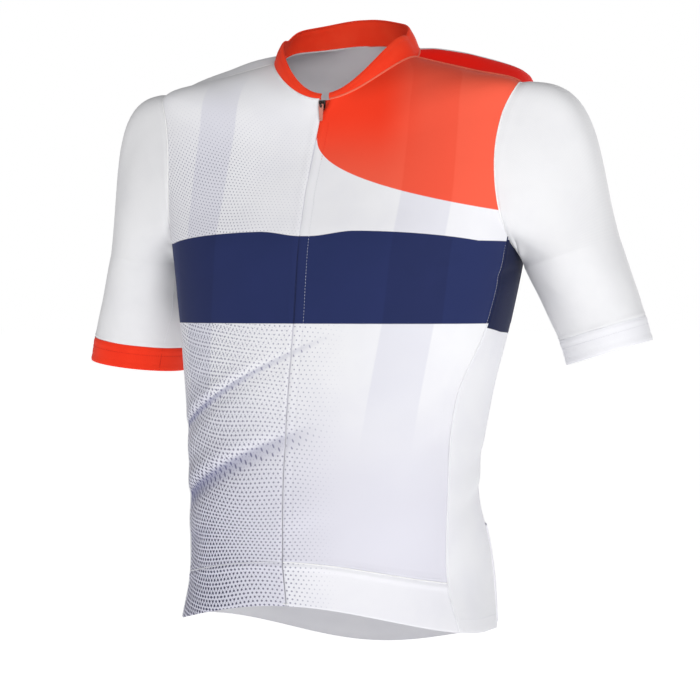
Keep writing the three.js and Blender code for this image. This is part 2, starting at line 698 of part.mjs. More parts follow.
const jersey = new THREE.Group();
for (const [side, word] of [[1, 'left'], [-1, 'right']]) {
  jersey.add(piece(`front_${word}`, frontPanel(side), CLOTH.white));
  jersey.add(piece(`side_${word}`, sidePanel(side), CLOTH.white));
  jersey.add(piece(`hem_band_${word}`, hemBand(side), CLOTH.white));
  jersey.add(piece(`sleeve_${word}`, sleeve(word), CLOTH.white));
  jersey.add(piece(`cuff_${word}`, cuff(word), side > 0 ? CLOTH.white : CLOTH.coral));
  jersey.add(piece(`zip_tape_${word}`, zipTape(side), CLOTH.zip, 0.6));
}
jersey.add(piece('back', backPanel(), CLOTH.white));
jersey.add(piece('pockets', pocketPanel(), CLOTH.white));
jersey.add(piece('collar', collar(), CLOTH.coral));
jersey.add(piece('zip_slider', zipSlider(), CLOTH.metal, 0.35, 0.9));
jersey.add(piece('zip_pull', zipPull(), CLOTH.metal, 0.35, 0.9));

export default jersey;
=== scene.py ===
"""Short-sleeved cycling jersey, worn and hollow: the cloth, sewing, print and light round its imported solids.

Lengths in the tables are millimetres in the part's own frame: +Z is up, the front faces -Y and
the wearer's left is +X. Meshes are in metres. A side is 1 on the wearer's left and -1 on the right.
"""
import math

import bpy
import numpy as np
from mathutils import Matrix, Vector


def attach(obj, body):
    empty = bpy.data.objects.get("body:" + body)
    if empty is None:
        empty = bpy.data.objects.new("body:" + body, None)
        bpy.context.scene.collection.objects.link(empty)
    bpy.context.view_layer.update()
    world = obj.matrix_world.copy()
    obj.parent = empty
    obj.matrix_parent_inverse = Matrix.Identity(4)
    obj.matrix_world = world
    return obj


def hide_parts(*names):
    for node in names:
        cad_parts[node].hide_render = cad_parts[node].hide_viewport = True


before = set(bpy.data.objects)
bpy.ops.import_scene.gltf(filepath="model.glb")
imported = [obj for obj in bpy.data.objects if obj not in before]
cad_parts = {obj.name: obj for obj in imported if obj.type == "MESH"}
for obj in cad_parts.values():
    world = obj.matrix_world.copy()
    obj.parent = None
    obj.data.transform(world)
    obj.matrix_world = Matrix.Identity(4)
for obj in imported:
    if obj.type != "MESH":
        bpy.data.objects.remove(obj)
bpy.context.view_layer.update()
MM = 0.001
# Thickness of the cloth, and the gap in metres across which a ring's two ends are joined.
CLOTH = 0.9
WELD = 0.00002
WORDS = {1: "left", -1: "right"}

# The body's level rings from hem to neck, the side seams, armhole and sleeves, as in the part's source.
RINGS = {
    "at": "hem hips waist ribs band armpit chest armhole upper_arm tip shoulder yoke neck".split(),
    "z_front": [-558, -512, -455, -355, -278, -200, -160, -127, -102, -84, -68, -57, -50],
    "z_side": [-590, -538, -460, -355, -278, -203, -162, -112, -66, -35, -20, -9, -3],
    "z_back": [-622, -562, -465, -355, -275, -198, -150, -105, -62, -30, -6, 9, 17],
    "half": [166, 157, 152, 161, 175, 187, 192, 198, 201, 197, 143, 100, 78],
    "y_front": [-131, -132, -130, -119, -106, -91, -75, -61, -51, -46, -43, -42, -42],
    "y_side": [-6, -2, -7, 6, 20, 28, 23, 16, 11, 8, 14, 20, 25],
    "y_back": [95, 104, 80, 104, 124, 138, 142, 143, 136, 124, 108, 96, 88],
    "round_front": [2.0, 2.0, 2.3, 2.4, 2.5, 2.7, 2.9, 3.0, 2.9, 2.7, 2.4, 2.2, 2.0],
    "round_back": [3.0, 3.4, 2.5, 2.4, 2.5, 2.7, 2.9, 3.0, 2.9, 2.7, 2.4, 2.2, 2.0],
    "ridge": [0, 0, 0, 0, 0, 0, 0, 2, 6, 14, 19, 15, 9],
}
RIDGE_AT = 0.28
SIDE_SEAMS = {
    "at": "hem hips waist ribs band".split(),
    "front": [0.78, 0.735, 0.755, 0.735, 0.835],
    "back": [1.22, 1.21, 1.20, 1.18, 1.155],
}
ARMHOLE = {"front": 0.22, "back": 0.25, "seam_angle": -55}
SLEEVES = {
    "left": {
        "axis": (0.295, 0.06, -1),
        "x": [238, 254, 264.5, 271], "y": [52, 62, 70, 74], "z": [-208, -252, -284.5, -309],
        "across": [52, 50, 49, 49], "deep": [58, 54, 51, 50], "skew": [3, 5, 6, 6],
    },
    "right": {
        "axis": (0.16, 0.06, -1),
        "x": [234, 246, 261, 268], "y": [52, 62, 70, 74], "z": [-210, -260, -301, -326],
        "across": [47, 50, 49, 49], "deep": [58, 54, 51, 50], "skew": [3, 5, 6, 6],
    },
}
HEM_BAND = 50
HEM_FOLD = 18
COLLAR = {
    "half": 67, "y_front": -40, "y_side": 21, "y_back": 80, "z_front": -43, "z_side": 20, "z_back": 45,
    "round_front": 2.0, "round_back": 2.0, "ridge": 9,
}
# The collar's left and right ends stop this far from the middle.
COLLAR_GAPS = (7.0, 2.4)
# Half the opening at the neck on each side, and how far down the fronts part.
ZIP_OPEN = {1: 8.3, -1: 4.6}
ZIP_OPEN_LENGTH = 38
# The closed zip leans a little to the right of the middle: height at the front, and how far.
ZIP_LINE = [
    (-560, -2.5), (-545, -3.5), (-520, -6), (-431, -7), (-386, -6.5), (-278, -5.2),
    (-190, -6.5), (-145, -8), (-100, -6), (-86, -4.5), (-75, -3.2), (-62, -1), (-50, 0),
]
POCKET = {"foot": 6, "side_top": 104, "middle_top": 150, "width": 400, "off_back": 2.4, "gape": 2.6, "count": 3}

# Creases of the fronts, seen from the front: start, end, depth, width above and below, and where deepest.
FRONT_CREASES = [
    (-180, -408, 30, -294, 5.0, 4, 11, 0.12),
    (-176, -478, 40, -374, 6.0, 6, 15, 0.20),
    (-166, -436, -88, -398, 2.2, 6, 12, 0.25),
    (-160, -512, -96, -488, 1.8, 7, 14, 0.25),
    (-150, -346, -66, -318, 1.2, 6, 12, 0.25),
    (-20, -498, 62, -470, 1.3, 10, 18, 0.5),
    (126, -222, 192, -196, 2.2, 4, 6, 0.8),
    (118, -246, 190, -210, 1.9, 4, 7, 0.8),
    (134, -268, 186, -226, 1.4, 5, 8, 0.75),
    (-192, -196, -138, -216, 2.0, 4, 7, 0.2),
    (-190, -210, -130, -238, 1.6, 4, 8, 0.2),
    (120, -420, 150, -376, 1.2, 8, 12, 0.6),
    (60, -112, 168, -70, 1.0, 9, 14, 0.8),
    (-168, -72, -62, -114, 1.0, 9, 14, 0.2),
]
# Creases of the sides and back, seen from behind or the side: x (or y on the sides) and height.
BACK_CREASES = [
    (-120, -430, 60, -470, 4.4, 6, 13, 0.4),
    (-50, -395, 128, -448, 4.0, 6, 14, 0.6),
    (-140, -300, -70, -350, 3.0, 7, 12, 0.2),
    (70, -352, 146, -306, 3.2, 7, 12, 0.8),
    (-178, -190, -112, -226, 3.6, 5, 10, 0.15),
    (108, -232, 178, -192, 3.8, 5, 10, 0.85),
    (-90, -60, 70, -72, 2.4, 9, 14, 0.5),
    (-60, -84, 96, -96, 2.0, 8, 14, 0.5),
]
SIDE_CREASES = [
    (-90, -500, 120, -506, -3.6, 34, 40, 0.5),
    (-60, -476, 50, -440, 2.6, 6, 11, 0.5),
    (-54, -436, 60, -404, 2.0, 7, 12, 0.5),
    (-40, -236, 60, -226, 1.8, 5, 8, 0.5),
]
# Creases of a sleeve, in degrees round the armhole and steps down the arm.
SLEEVE_CREASES = [
    (-70, -0.95, -18, -0.20, 3.2, 7, 12, 0.25),
    (-58, -0.55, -8, 0.30, 2.2, 8, 14, 0.3),
    (-100, -0.75, -140, 0.10, 2.6, 8, 12, 0.3),
    (-66, 0.20, -20, 0.95, 1.5, 8, 14, 0.4),
    (200, -0.55, 236, 0.40, 2.4, 8, 14, 0.5),
    (30, -0.80, 64, -0.10, 1.2, 12, 18, 0.4),
]
# Every crease bows upwards by this share of its length, and so do the folds of the print.
BOW = 0.03
# The folds of the print, each with painted shade along it and dots stretched under it: start, end, strength of the
# painted shade at each, reach above and below.
FOLD_SHADES = [
    (-180, -408, 44, -286, 0.80, 0.16, 1.5, 2.8),
    (-176, -478, 30, -378, 0.85, 0.22, 2.6, 8.5),
    (-160, -510, -80, -484, 0.25, 0.05, 4.0, 8.0),
]
# How far in mm the first two folds stretch the dots beneath them.
FOLD_PULLS = (3.0, 8.0)


# Curves

def lerp(a, b, t):
    return a + (b - a) * t


def smooth(t):
    t = np.clip(t, 0.0, 1.0)
    return t * t * (3 - 2 * t)


def bell(x, width):
    """1 at x = 0, falling away smoothly on both sides."""
    return np.exp(-((x / width) ** 2))


def unit(v):
    return v / np.maximum(np.linalg.norm(v, axis=-1, keepdims=True), 1e-9)


def eased(start, leave, end, arrive, t):
    """A smooth path from start to end, with the steps it leaves and arrives by."""
    t2, t3 = t * t, t * t * t
    return (
        (2 * t3 - 3 * t2 + 1) * start + (t3 - 2 * t2 + t) * leave
        + (3 * t2 - 2 * t3) * end + (t3 - t2) * arrive
    )


def column(stations, values):
    """A smooth curve through one column of a table, at the given stations."""
    stations, values = np.asarray(stations, float), np.asarray(values, float)
    order = np.arange(len(stations))
    before, after = np.maximum(order - 1, 0), np.minimum(order + 1, order[-1])
    slopes = (values[after] - values[before]) / (stations[after] - stations[before])

    def at(s):
        i = np.clip(np.searchsorted(stations, s, side="left") - 1, 0, order[-1] - 1)
        h = stations[i + 1] - stations[i]
        return eased(values[i], h * slopes[i], values[i + 1], h * slopes[i + 1], (s - stations[i]) / h)

    return at


def ring_stations():
    """The way up the body to each ring: the mean of those up its front, side and back."""
    step = {key: np.diff(values) for key, values in RINGS.items() if key != "at"}
    ways = (("z_front", "y_front"), ("z_side", "half"), ("z_back", "y_back"))
    return np.concatenate([[0.0], np.cumsum(sum(np.hypot(step[a], step[b]) for a, b in ways) / 3)])


STATION = dict(zip(RINGS["at"], ring_stations()))
RING = {key: column(list(STATION.values()), values) for key, values in RINGS.items() if key != "at"}
NECK, TIP, ARMPIT = STATION["neck"], STATION["tip"], STATION["armpit"]
ARMHOLE_MIDDLE = (TIP + ARMPIT) / 2
ARMHOLE_HALF = (TIP - ARMPIT) / 2

QUARTER_STEPS = 160
QUARTER_ANGLES = np.linspace(0, math.pi / 2, QUARTER_STEPS + 1)
QUARTER_COS = np.maximum(np.cos(QUARTER_ANGLES), 0.0)
QUARTER_SIN = np.sin(QUARTER_ANGLES)
QUARTER_CHUNK = 20000


def quarter(half, depth, power, share):
    """Points of a quarter oval by share of its length: distance sideways, distance forward, and the length."""
    values = np.broadcast_arrays(half, depth, power, share)
    half, depth, power, share = (np.asarray(value, float).ravel() for value in values)
    keys = np.round(np.stack([half, depth, power], 1), 5)
    unique, which = np.unique(keys, axis=0, return_inverse=True)
    which = which.ravel()
    p = unique[:, 2:3]
    reach = ((QUARTER_COS / unique[:, 1:2]) ** p + (QUARTER_SIN / unique[:, 0:1]) ** p) ** (-1 / p)
    across, forward = reach * QUARTER_SIN, reach * QUARTER_COS
    steps = np.hypot(np.diff(across, axis=1), np.diff(forward, axis=1))
    lengths = np.concatenate([np.zeros((len(unique), 1)), np.cumsum(steps, axis=1)], axis=1)
    want = np.clip(share, 0, 1) * lengths[which, -1]
    below = np.empty(len(share), int)
    for start in range(0, len(share), QUARTER_CHUNK):
        part = slice(start, start + QUARTER_CHUNK)
        below[part] = (lengths[which[part]] < want[part, None]).sum(1) - 1
    below = np.clip(below, 0, QUARTER_STEPS - 1)
    t = (want - lengths[which, below]) / (lengths[which, below + 1] - lengths[which, below])
    x = lerp(across[which, below], across[which, below + 1], t)
    d = lerp(forward[which, below], forward[which, below + 1], t)
    return tuple(value.reshape(values[3].shape) for value in (x, d, lengths[which, -1]))


def quarter_length(w, near="y_front", far="y_side", power="round_front"):
    """Length in mm of the body's quarter at the stations w, from its side to the centre front."""
    w = np.asarray(w, float)
    return quarter(RING["half"](w), RING[far](w) - RING[near](w), RING[power](w), np.ones_like(w))[2]


def back_length(w):
    return quarter_length(w, "y_side", "y_back", "round_back")


# The body's surface: u from -2 to 2 round it, 0 at centre front, and w the station up it.

def ridge_shape(v):
    v = np.maximum(v, 0) / RIDGE_AT
    return v * v * np.exp(2 * (1 - v))


def ring_point(u, ring):
    """Places round a ring, or round one ring for each place."""
    v = np.abs(u)
    front = v <= 1
    depth = np.where(front, ring["y_side"] - ring["y_front"], ring["y_back"] - ring["y_side"])
    power = np.where(front, ring["round_front"], ring["round_back"])
    share = np.where(front, v, 2 - v)
    x, d, _ = quarter(ring["half"], depth, power, share)
    y = ring["y_side"] + np.where(front, -d, d)
    centre = np.where(front, ring["z_front"], ring["z_back"])
    z = lerp(ring["z_side"], centre, np.cos(share * math.pi / 2) ** 2)
    z = z + np.where(front, 0, ring["ridge"] * ridge_shape(v - 1))
    return np.stack([np.sign(u) * x, y, z], -1)


def body_point(u, w):
    u, w = np.broadcast_arrays(np.asarray(u, float), np.asarray(w, float))
    return ring_point(u, {key: curve(w) for key, curve in RING.items()})


def body_normal(u, w):
    step_u, step_w = 0.006, 1.5
    along = body_point(u + step_u, w) - body_point(u - step_u, w)
    up = body_point(u, np.minimum(w + step_w, NECK)) - body_point(u, np.maximum(w - step_w, 0))
    return unit(np.cross(along, up))


def crease_depth(a, b, creases):
    """How far a set of creases draws the cloth in, at the places (a, b) of their own plane."""
    depth = np.zeros_like(a)
    for a1, b1, a2, b2, deep, above, below, deepest in creases:
        da, db = a2 - a1, b2 - b1
        length = math.hypot(da, db)
        t = ((a - a1) * da + (b - b1) * db) / length**2
        off = ((b - b1) * da - (a - a1) * db) / length - BOW * length * np.sin(np.clip(t, 0, 1) * math.pi)
        fade = smooth(t / deepest) * smooth((1 - t) / (1 - deepest))
        swell = 0.28 * bell(off - 2.4 * above, 1.5 * above)
        depth += deep * fade * (bell(off, np.where(off > 0, above, below)) - swell)
    return depth


def body_creases(p):
    x, y, z = p[..., 0], p[..., 1], p[..., 2]
    front = crease_depth(x, z, FRONT_CREASES) * smooth((-48 - y) / 34)
    back = crease_depth(x, z, BACK_CREASES) * smooth((y - 20) / 40)
    beside = smooth((np.abs(x) - 120) / 25) * smooth((70 - y) / 30) * smooth((y + 75) / 30)
    return front + back + crease_depth(y, z, SIDE_CREASES) * beside


def cloth_point(u, w, out=0.0):
    """Places on the creased cloth, out mm off its middle."""
    p = body_point(u, w)
    return p + body_normal(u, w) * (np.asarray(out) - body_creases(p))[..., None]


def wrapped(v):
    """u for a place v counted on past the centre back, from 0 to 4."""
    return np.where(v <= 2, v, v - 4)


def armhole_at(angle):
    """Places (u, w) by the angle in degrees round the armhole: 0 at the front, 90 at the shoulder."""
    sin, cos = np.sin(np.radians(angle)), np.cos(np.radians(angle))
    reach = np.where(cos >= 0, ARMHOLE["front"], ARMHOLE["back"])
    return 1 - reach * cos, ARMHOLE_MIDDLE + ARMHOLE_HALF * sin


def side_seam(place, end):
    """The front or back side seam up to the armhole, where it ends at u."""
    return column([STATION[name] for name in SIDE_SEAMS["at"]] + [JOIN], SIDE_SEAMS[place] + [end])


JOIN = ARMHOLE_MIDDLE + ARMHOLE_HALF * math.sin(math.radians(ARMHOLE["seam_angle"]))
JOIN_REACH = math.cos(math.radians(ARMHOLE["seam_angle"]))
front_seam = side_seam("front", 1 - ARMHOLE["front"] * JOIN_REACH)
back_seam = side_seam("back", 1 + ARMHOLE["back"] * JOIN_REACH)


def panel_edges(w):
    """The places of the front's and the back's outer edge at each station, up past the armhole to the neck."""
    reach = np.sqrt(1 - np.clip((w - ARMHOLE_MIDDLE) / ARMHOLE_HALF, -1, 1) ** 2)
    front = np.where(w <= JOIN, front_seam(np.minimum(w, JOIN)), 1 - ARMHOLE["front"] * reach)
    back = np.where(w <= JOIN, back_seam(np.minimum(w, JOIN)), 1 + ARMHOLE["back"] * reach)
    return np.where(w >= TIP, 1.0, front), np.where(w >= TIP, 1.0, back)


def rows_between(low, high, step):
    """Stations from low to high, closer together up the armhole and towards its top, where it turns over."""
    rows = np.linspace(low, high, int(round((high - low) / step)) + 1)
    angles = np.linspace(ARMHOLE["seam_angle"], 90, int(2 * ARMHOLE_HALF / step) + 8)
    beside_arm = ARMHOLE_MIDDLE + ARMHOLE_HALF * np.sin(np.radians(angles))
    return np.concatenate([rows[rows < JOIN - step / 2], beside_arm, rows[rows > TIP + step / 2]])


# Meshes

def deselect_all():
    if bpy.context.object and bpy.context.object.mode != "OBJECT":
        bpy.ops.object.mode_set(mode="OBJECT")
    bpy.ops.object.select_all(action="DESELECT")


def only(piece):
    deselect_all()
    piece.select_set(True)
    bpy.context.view_layer.objects.active = piece


def new_object(name):
    piece = bpy.context.object
    piece.name = piece.data.name = name
    return piece


def apply_modifier(piece, kind, **settings):
    only(piece)
    modifier = piece.modifiers.new(kind.title(), kind)
    for key, value in settings.items():
        setattr(modifier, key, value)
    bpy.ops.object.modifier_apply(modifier=modifier.name)


def put_on(piece, material):
    piece.data.materials.clear()
    piece.data.materials.append(material)


def finish_piece(piece, material):
    put_on(piece, material)
    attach(piece, "garment")


def flat_size(points):
    """Width, length and area of the cut that covers a grid of points, in metres."""
    width = np.linalg.norm(np.diff(points, axis=1), axis=2).sum(1).max() * MM
    length = np.linalg.norm(np.diff(points, axis=0), axis=2).sum(0).max() * MM
    rising, falling = points[1:, 1:] - points[:-1, :-1], points[1:, :-1] - points[:-1, 1:]
    area = np.linalg.norm(np.cross(rising, falling), axis=2).sum() / 2 * MM * MM
    return width, length, float(np.clip(area, 0.3 * width * length, width * length))


def inside(middle, place):
    """A point inside the jersey at the same height: the arm's middle on a sleeve, else the body's."""
    if abs(middle[0]) > 205:
        return np.array([math.copysign(252.0, middle[0]), 60.0, place[2]])
    return np.array([0.0, 15.0, min(place[2], -60.0)])


def face_outwards(mesh, points):
    """Turns the grid round if its faces point at the jersey's inside."""
    i, j = points.shape[0] // 2, points.shape[1] // 2
    here = points[i, j]
    normal = np.cross(points[i, j + 1] - here, points[i + 1, j] - here)
    if normal.dot(here - inside(points.reshape(-1, 3).mean(0), here)) < 0:
        mesh.flip_normals()


def cloth_shell(name, points, uv, material, node, thickness=CLOTH, ring=False):
    """A grid of cloth laid over the points (rows by columns, mm) and given its thickness inwards."""
    rows, columns = points.shape[:2]
    deselect_all()
    bpy.ops.mesh.primitive_grid_add(x_subdivisions=columns - 1, y_subdivisions=rows - 1, size=1)
    piece = new_object(name)
    mesh = piece.data
    mesh.vertices.foreach_set("co", (points * MM).astype(np.float32).ravel())
    corners = np.empty(len(mesh.loops), int)
    mesh.loops.foreach_get("vertex_index", corners)
    flat = np.stack(np.broadcast_arrays(*uv), -1).reshape(-1, 2)
    mesh.uv_layers[0].name = "cloth"
    mesh.uv_layers[0].data.foreach_set("uv", (flat[corners] * MM).astype(np.float32).ravel())
    face_outwards(mesh, points)
    if ring:
        only(piece)
        bpy.ops.object.mode_set(mode="EDIT")
        bpy.ops.mesh.select_all(action="SELECT")
        bpy.ops.mesh.remove_doubles(threshold=WELD)
        bpy.ops.object.mode_set(mode="OBJECT")
    apply_modifier(piece, "SOLIDIFY", thickness=thickness * MM, offset=-1.0, use_even_offset=False)
    only(piece)
    bpy.ops.object.shade_smooth_by_angle(angle=math.radians(50))
    finish_piece(piece, material)
    width, length, area = flat_size(points)
    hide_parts(node)


# Pieces of cloth

def bunched(count, ends=0.6):
    """Places from 0 to 1, closer together towards both ends, where the seams are."""
    t = np.linspace(0, 1, count + 1)
    return t - ends * np.sin(2 * math.pi * t) / (2 * math.pi)


def seam_roll(distance, high=0.35, width=2.2, ditch=0.4):
    """The soft ridge beside a seam and the dip into it, by the distance in mm from the cloth's cut edge."""
    return high * bell(distance - 1.5 * width, width) - ditch * bell(distance, 1.0)


def turned_hem(w):
    """The hem's rounded edge and the ditch of its stitching."""
    return seam_roll(np.abs(w - HEM_FOLD), 0.25, 1.6, 0.25) - 0.5 * bell(w, 0.9)


def ripples(arc, w):
    """The slack of worn knit: long, shallow and uneven, a few tenths of a millimetre."""
    a, b = arc / 1000, w / 1000
    wave = np.sin(41 * a + 9 * b + 1.3) * np.sin(23 * b - 15 * a + 0.4)
    wave += 0.6 * np.sin(87 * a - 31 * b + 2.1) * np.sin(52 * b + 24 * a)
    return 0.32 * wave


def zip_lean(w):
    return np.interp(RING["z_front"](w), *zip(*ZIP_LINE))


def front_edge(w, side):
    """The front's edge beside the zip, parted near the neck."""
    closed = lerp(0.85, 0.3, smooth(w / 420))
    opening = smooth(1 - (NECK - w) / ZIP_OPEN_LENGTH)
    return (lerp(closed, ZIP_OPEN[side], opening) + side * zip_lean(w)) / quarter_length(w)


def inset_u(w):
    """Half a seam, where each panel stops short of its neighbour."""
    return 0.2 / quarter_length(w)


def front_cloth(name, side, material, w, relief, slack, thickness=CLOTH):
    """A piece of a front from the zip to the side seam, with its own relief at the stations w."""
    w, name = w[:, None], f"{name}_{WORDS[side]}"
    start, edge, length = front_edge(w, side), panel_edges(w)[0] - inset_u(w), quarter_length(w)
    u = lerp(start, edge, bunched(78))
    to_zip, arc = (u - start) * length, u * side * length
    out = seam_roll((edge - u) * length) + relief[:, None] + slack * ripples(arc, w)
    out += 0.35 * bell(to_zip - 4.5, 3.2) - 0.45 * bell(to_zip, 0.8)
    points = cloth_point(side * u, w, out)
    cloth_shell(f"{name}_cloth", points, (arc, w), material, name, thickness)


def front(side, material):
    w = rows_between(HEM_BAND + 0.2, NECK - 0.2, 2.6)
    front_cloth("front", side, material, w, seam_roll(w - HEM_BAND, 0.5, 2.6, 0.2), 1.0)


def hem_band(side, material):
    top = HEM_BAND - 0.2
    w = bunched(26, 0.5) * top
    front_cloth("hem_band", side, material, w, seam_roll(top - w, 1.1, 3.0, 0.2) - 0.5 * bell(w, 0.9), 0.5, 1.1)


def back(material):
    w = rows_between(0.0, NECK - 0.2, 3.2)[:, None]
    start, length = panel_edges(w)[1] + inset_u(w), back_length(w)
    v = lerp(start, 4 - start, bunched(124, 0.5))
    arc = (v - 2) * length
    out = seam_roll(np.minimum(v - start, 4 - start - v) * length) + turned_hem(w) + 1.2 * ripples(arc, w)
    cloth_shell("back_cloth", cloth_point(wrapped(v), w, out), (arc, w), material, "back")


def side_panel(side, material):
    """The panel under an arm: level rows at the hem that bend into the armhole's curve at the top."""
    name = f"side_{WORDS[side]}"
    share, a = bunched(132, 0.3)[:, None], bunched(30, 0.5)
    top_u, top_w = armhole_at(lerp(ARMHOLE["seam_angle"], -180 - ARMHOLE["seam_angle"], a))
    w = share * (top_w - 0.2 * share)
    top_share = (top_u - front_seam(JOIN)) / (back_seam(JOIN) - front_seam(JOIN))
    row, inset, length = share * JOIN, inset_u(w), quarter_length(w)
    left, right = front_seam(row) + inset, back_seam(row) - inset
    u = lerp(left, right, lerp(a, top_share, share))
    out = seam_roll(np.minimum(u - left, right - u) * length, 0.3) + turned_hem(w)
    points = cloth_point(side * u, w, out)
    cloth_shell(f"{name}_cloth", points, (side * u * length, w), material, name)


def pocket_top(a):
    return lerp(POCKET["side_top"], POCKET["middle_top"], smooth(1.4 * np.sin(a * math.pi)))


def pocket_side_dip(a):
    return 1.15 * bell(np.minimum(a, 1 - a) * POCKET["width"], 3.0)


def pocket_points(a, t, out):
    """Places on the pocket panel by the shares across and up it, with their v and w."""
    w = lerp(POCKET["foot"], pocket_top(a), t)
    start = back_seam(w) + inset_u(w)
    v = lerp(start, 4 - start, a)
    stand = POCKET["gape"] * np.sin(a * POCKET["count"] * math.pi) ** 2 * smooth(t)
    return cloth_point(wrapped(v), w, POCKET["off_back"] + stand + out), v, w


def pockets(material):
    a, t = bunched(132, 0.3), bunched(52, 0.3)[:, None]
    to_divider = np.minimum(np.abs(a - 1 / 3), np.abs(a - 2 / 3)) * POCKET["width"]
    height = pocket_top(a) - POCKET["foot"]
    below_top = (1 - t) * height
    out = 0.8 * (seam_roll(t * height, 0.3) - bell(to_divider, 1.6) * smooth(1.2 - t)) - pocket_side_dip(a)
    out += 0.35 * bell(below_top - 5, 3.5) - 0.3 * bell(below_top - 11, 0.9)
    points, v, w = pocket_points(a, t, out)
    uv = ((v - 2) * back_length(w), w)
    cloth_shell("pocket_panel", points, uv, material, "pockets", 1.0)


# Sleeves: angle in degrees round the armhole, s from -1 there, 0 at the biceps, 2 at the cuff, 3 at its end.
LEAVE = {"shoulder": 1.0, "armpit": 0.12, "back": 0.25, "rise": 0.12}
# Cloth in mm to a degree round the sleeve, and to a step down it.
PER_DEGREE = 0.89
STEP_DOWN = 55
SLEEVE_ANGLES = np.linspace(-90, 270, 129)
UNDERARM_ANGLE = -54.0


def sleeve_frame(shape):
    arm = unit(np.array(shape["axis"], float))
    lateral = np.array([1.0, 0, 0])
    lateral = unit(lateral - arm * lateral.dot(arm))
    forward = unit(np.cross(lateral, arm))
    if forward[1] > 0:
        forward = -forward
    return arm, lateral, forward, {key: column(range(4), shape[key]) for key in shape if key != "axis"}


SLEEVE_FRAMES = {word: sleeve_frame(shape) for word, shape in SLEEVES.items()}


def tube_point(word, angle, s):
    _, lateral, forward, tube = SLEEVE_FRAMES[word]
    sin, cos = np.sin(np.radians(angle)), np.cos(np.radians(angle))
    centre = np.stack([tube["x"](s), tube["y"](s), tube["z"](s)], -1)
    side = (tube["across"](s) * sin + tube["skew"](s) * cos)[..., None]
    ahead = (tube["deep"](s) * cos + tube["skew"](s) * sin)[..., None]
    return centre + lateral * side + forward * ahead


def cap_point(word, angle, t):
    """The sleeve's head, from the armhole at t = 0 to the biceps at t = 1."""
    arm, t = SLEEVE_FRAMES[word][0], t[..., None]
    u, w = armhole_at(angle)
    sin = np.sin(np.radians(angle))[..., None]
    high = (1 + sin) / 2
    outward = lerp(LEAVE["armpit"], LEAVE["shoulder"], high)
    away = np.concatenate([np.ones_like(high), np.full_like(high, LEAVE["back"]), LEAVE["rise"] * high], -1)
    direction = unit(arm * (1 - outward) + away * outward)
    start = cloth_point(u, w) + direction * 0.3 + body_normal(u, w) * 0.5 * smooth((-sin - 0.1) / 0.6)
    end = tube_point(word, angle, np.zeros_like(angle))
    gap = np.linalg.norm(end - start, axis=-1, keepdims=True)
    leave, arrive = direction * gap * lerp(1.0, 1.25, high), arm * gap * lerp(0.7, 1.25, high)
    return eased(start, leave, end, arrive, t)


def sleeve_surface(word, angle, s):
    cap = cap_point(word, angle, np.clip(s + 1, 0, 1))
    return np.where((s <= 0)[..., None], cap, tube_point(word, angle, np.maximum(s, 0)))


def sleeve_normal(word, angle, s):
    further, nearer = np.minimum(s + 0.03, 3), np.maximum(s - 0.03, -1)
    along = sleeve_surface(word, angle, further) - sleeve_surface(word, angle, nearer)
    around = sleeve_surface(word, angle + 2, s) - sleeve_surface(word, angle - 2, s)
    return unit(np.cross(along, around))


def sleeve_points(word, angle, s, out):
    """Places on a creased sleeve; the right one is drawn on the left and mirrored."""
    angle, s = np.broadcast_arrays(angle, s)
    creases = [
        (c[0] * PER_DEGREE, -c[1] * STEP_DOWN, c[2] * PER_DEGREE, -c[3] * STEP_DOWN) + c[4:] for c in SLEEVE_CREASES
    ]
    turns = [crease_depth((angle + turn) * PER_DEGREE, -s * STEP_DOWN, creases) for turn in (-360, 0, 360)]
    depth = sum(turns) * smooth((s + 1) / 0.25)
    p = sleeve_surface(word, angle, s) + sleeve_normal(word, angle, s) * (out - depth)[..., None]
    return p * np.array([-1.0, 1, 1]) if word == "right" else p


def sleeve_cloth(name, side, material, s, relief, slack=0.0, thickness=CLOTH):
    """A ring of cloth round the arm, with its own relief at the steps s."""
    word = WORDS[side]
    angle, s = np.meshgrid(SLEEVE_ANGLES, s)
    out = relief[:, None] + slack * ripples(angle * PER_DEGREE * 1.3 + 70 * side, s * 70) * smooth((s + 1) / 0.3)
    uv = (angle * PER_DEGREE, -s * STEP_DOWN)
    points, name = sleeve_points(word, angle, s, out), f"{name}_{word}"
    cloth_shell(f"{name}_cloth", points, uv, material, name, thickness, ring=True)


def sleeve(side, material):
    end = 1.991
    s = np.concatenate([-1 + bunched(60, 0.4)[:-1], np.linspace(0, end, 44)])
    relief = seam_roll((s + 1) * 90, 0.4, 2.4, 0.3) + seam_roll((end - s) * 33, 0.35, 2.0, 0.45)
    sleeve_cloth("sleeve", side, material, s, relief, 1.2)


def cuff(side, material):
    width = 25
    s = 2 + bunched(16, 0.5)
    down = (s - 2) * width
    relief = seam_roll(down, 0.4, 2.0, 0.45) - 0.45 * bell(width - down, 0.9)
    relief += 0.25 * bell(down - 22, 2.0) - 0.2 * bell(down - 17, 0.9)
    sleeve_cloth("cuff", side, material, s, relief, thickness=1.2)


# Collar: v round it from the left end to the right one, t from its base up.
COLLAR_START, COLLAR_LAST = (gap / float(quarter_length(NECK)) for gap in COLLAR_GAPS)


def collar_points(v, t, out=0.0):
    u, t = wrapped(v), np.asarray(t, float)
    base = body_point(u, NECK) + np.array([0, 0, 0.4])
    around = body_point(u + 0.012, NECK) - body_point(u - 0.012, NECK)
    top = ring_point(u, COLLAR)
    rise = top - base
    height = np.linalg.norm(rise, axis=-1)
    bulge = 1.6 * np.sin(t * math.pi) * np.clip(height / 20, 0, 1)
    return lerp(base, top, t[..., None]) + unit(np.cross(around, rise)) * (bulge + out)[..., None], height


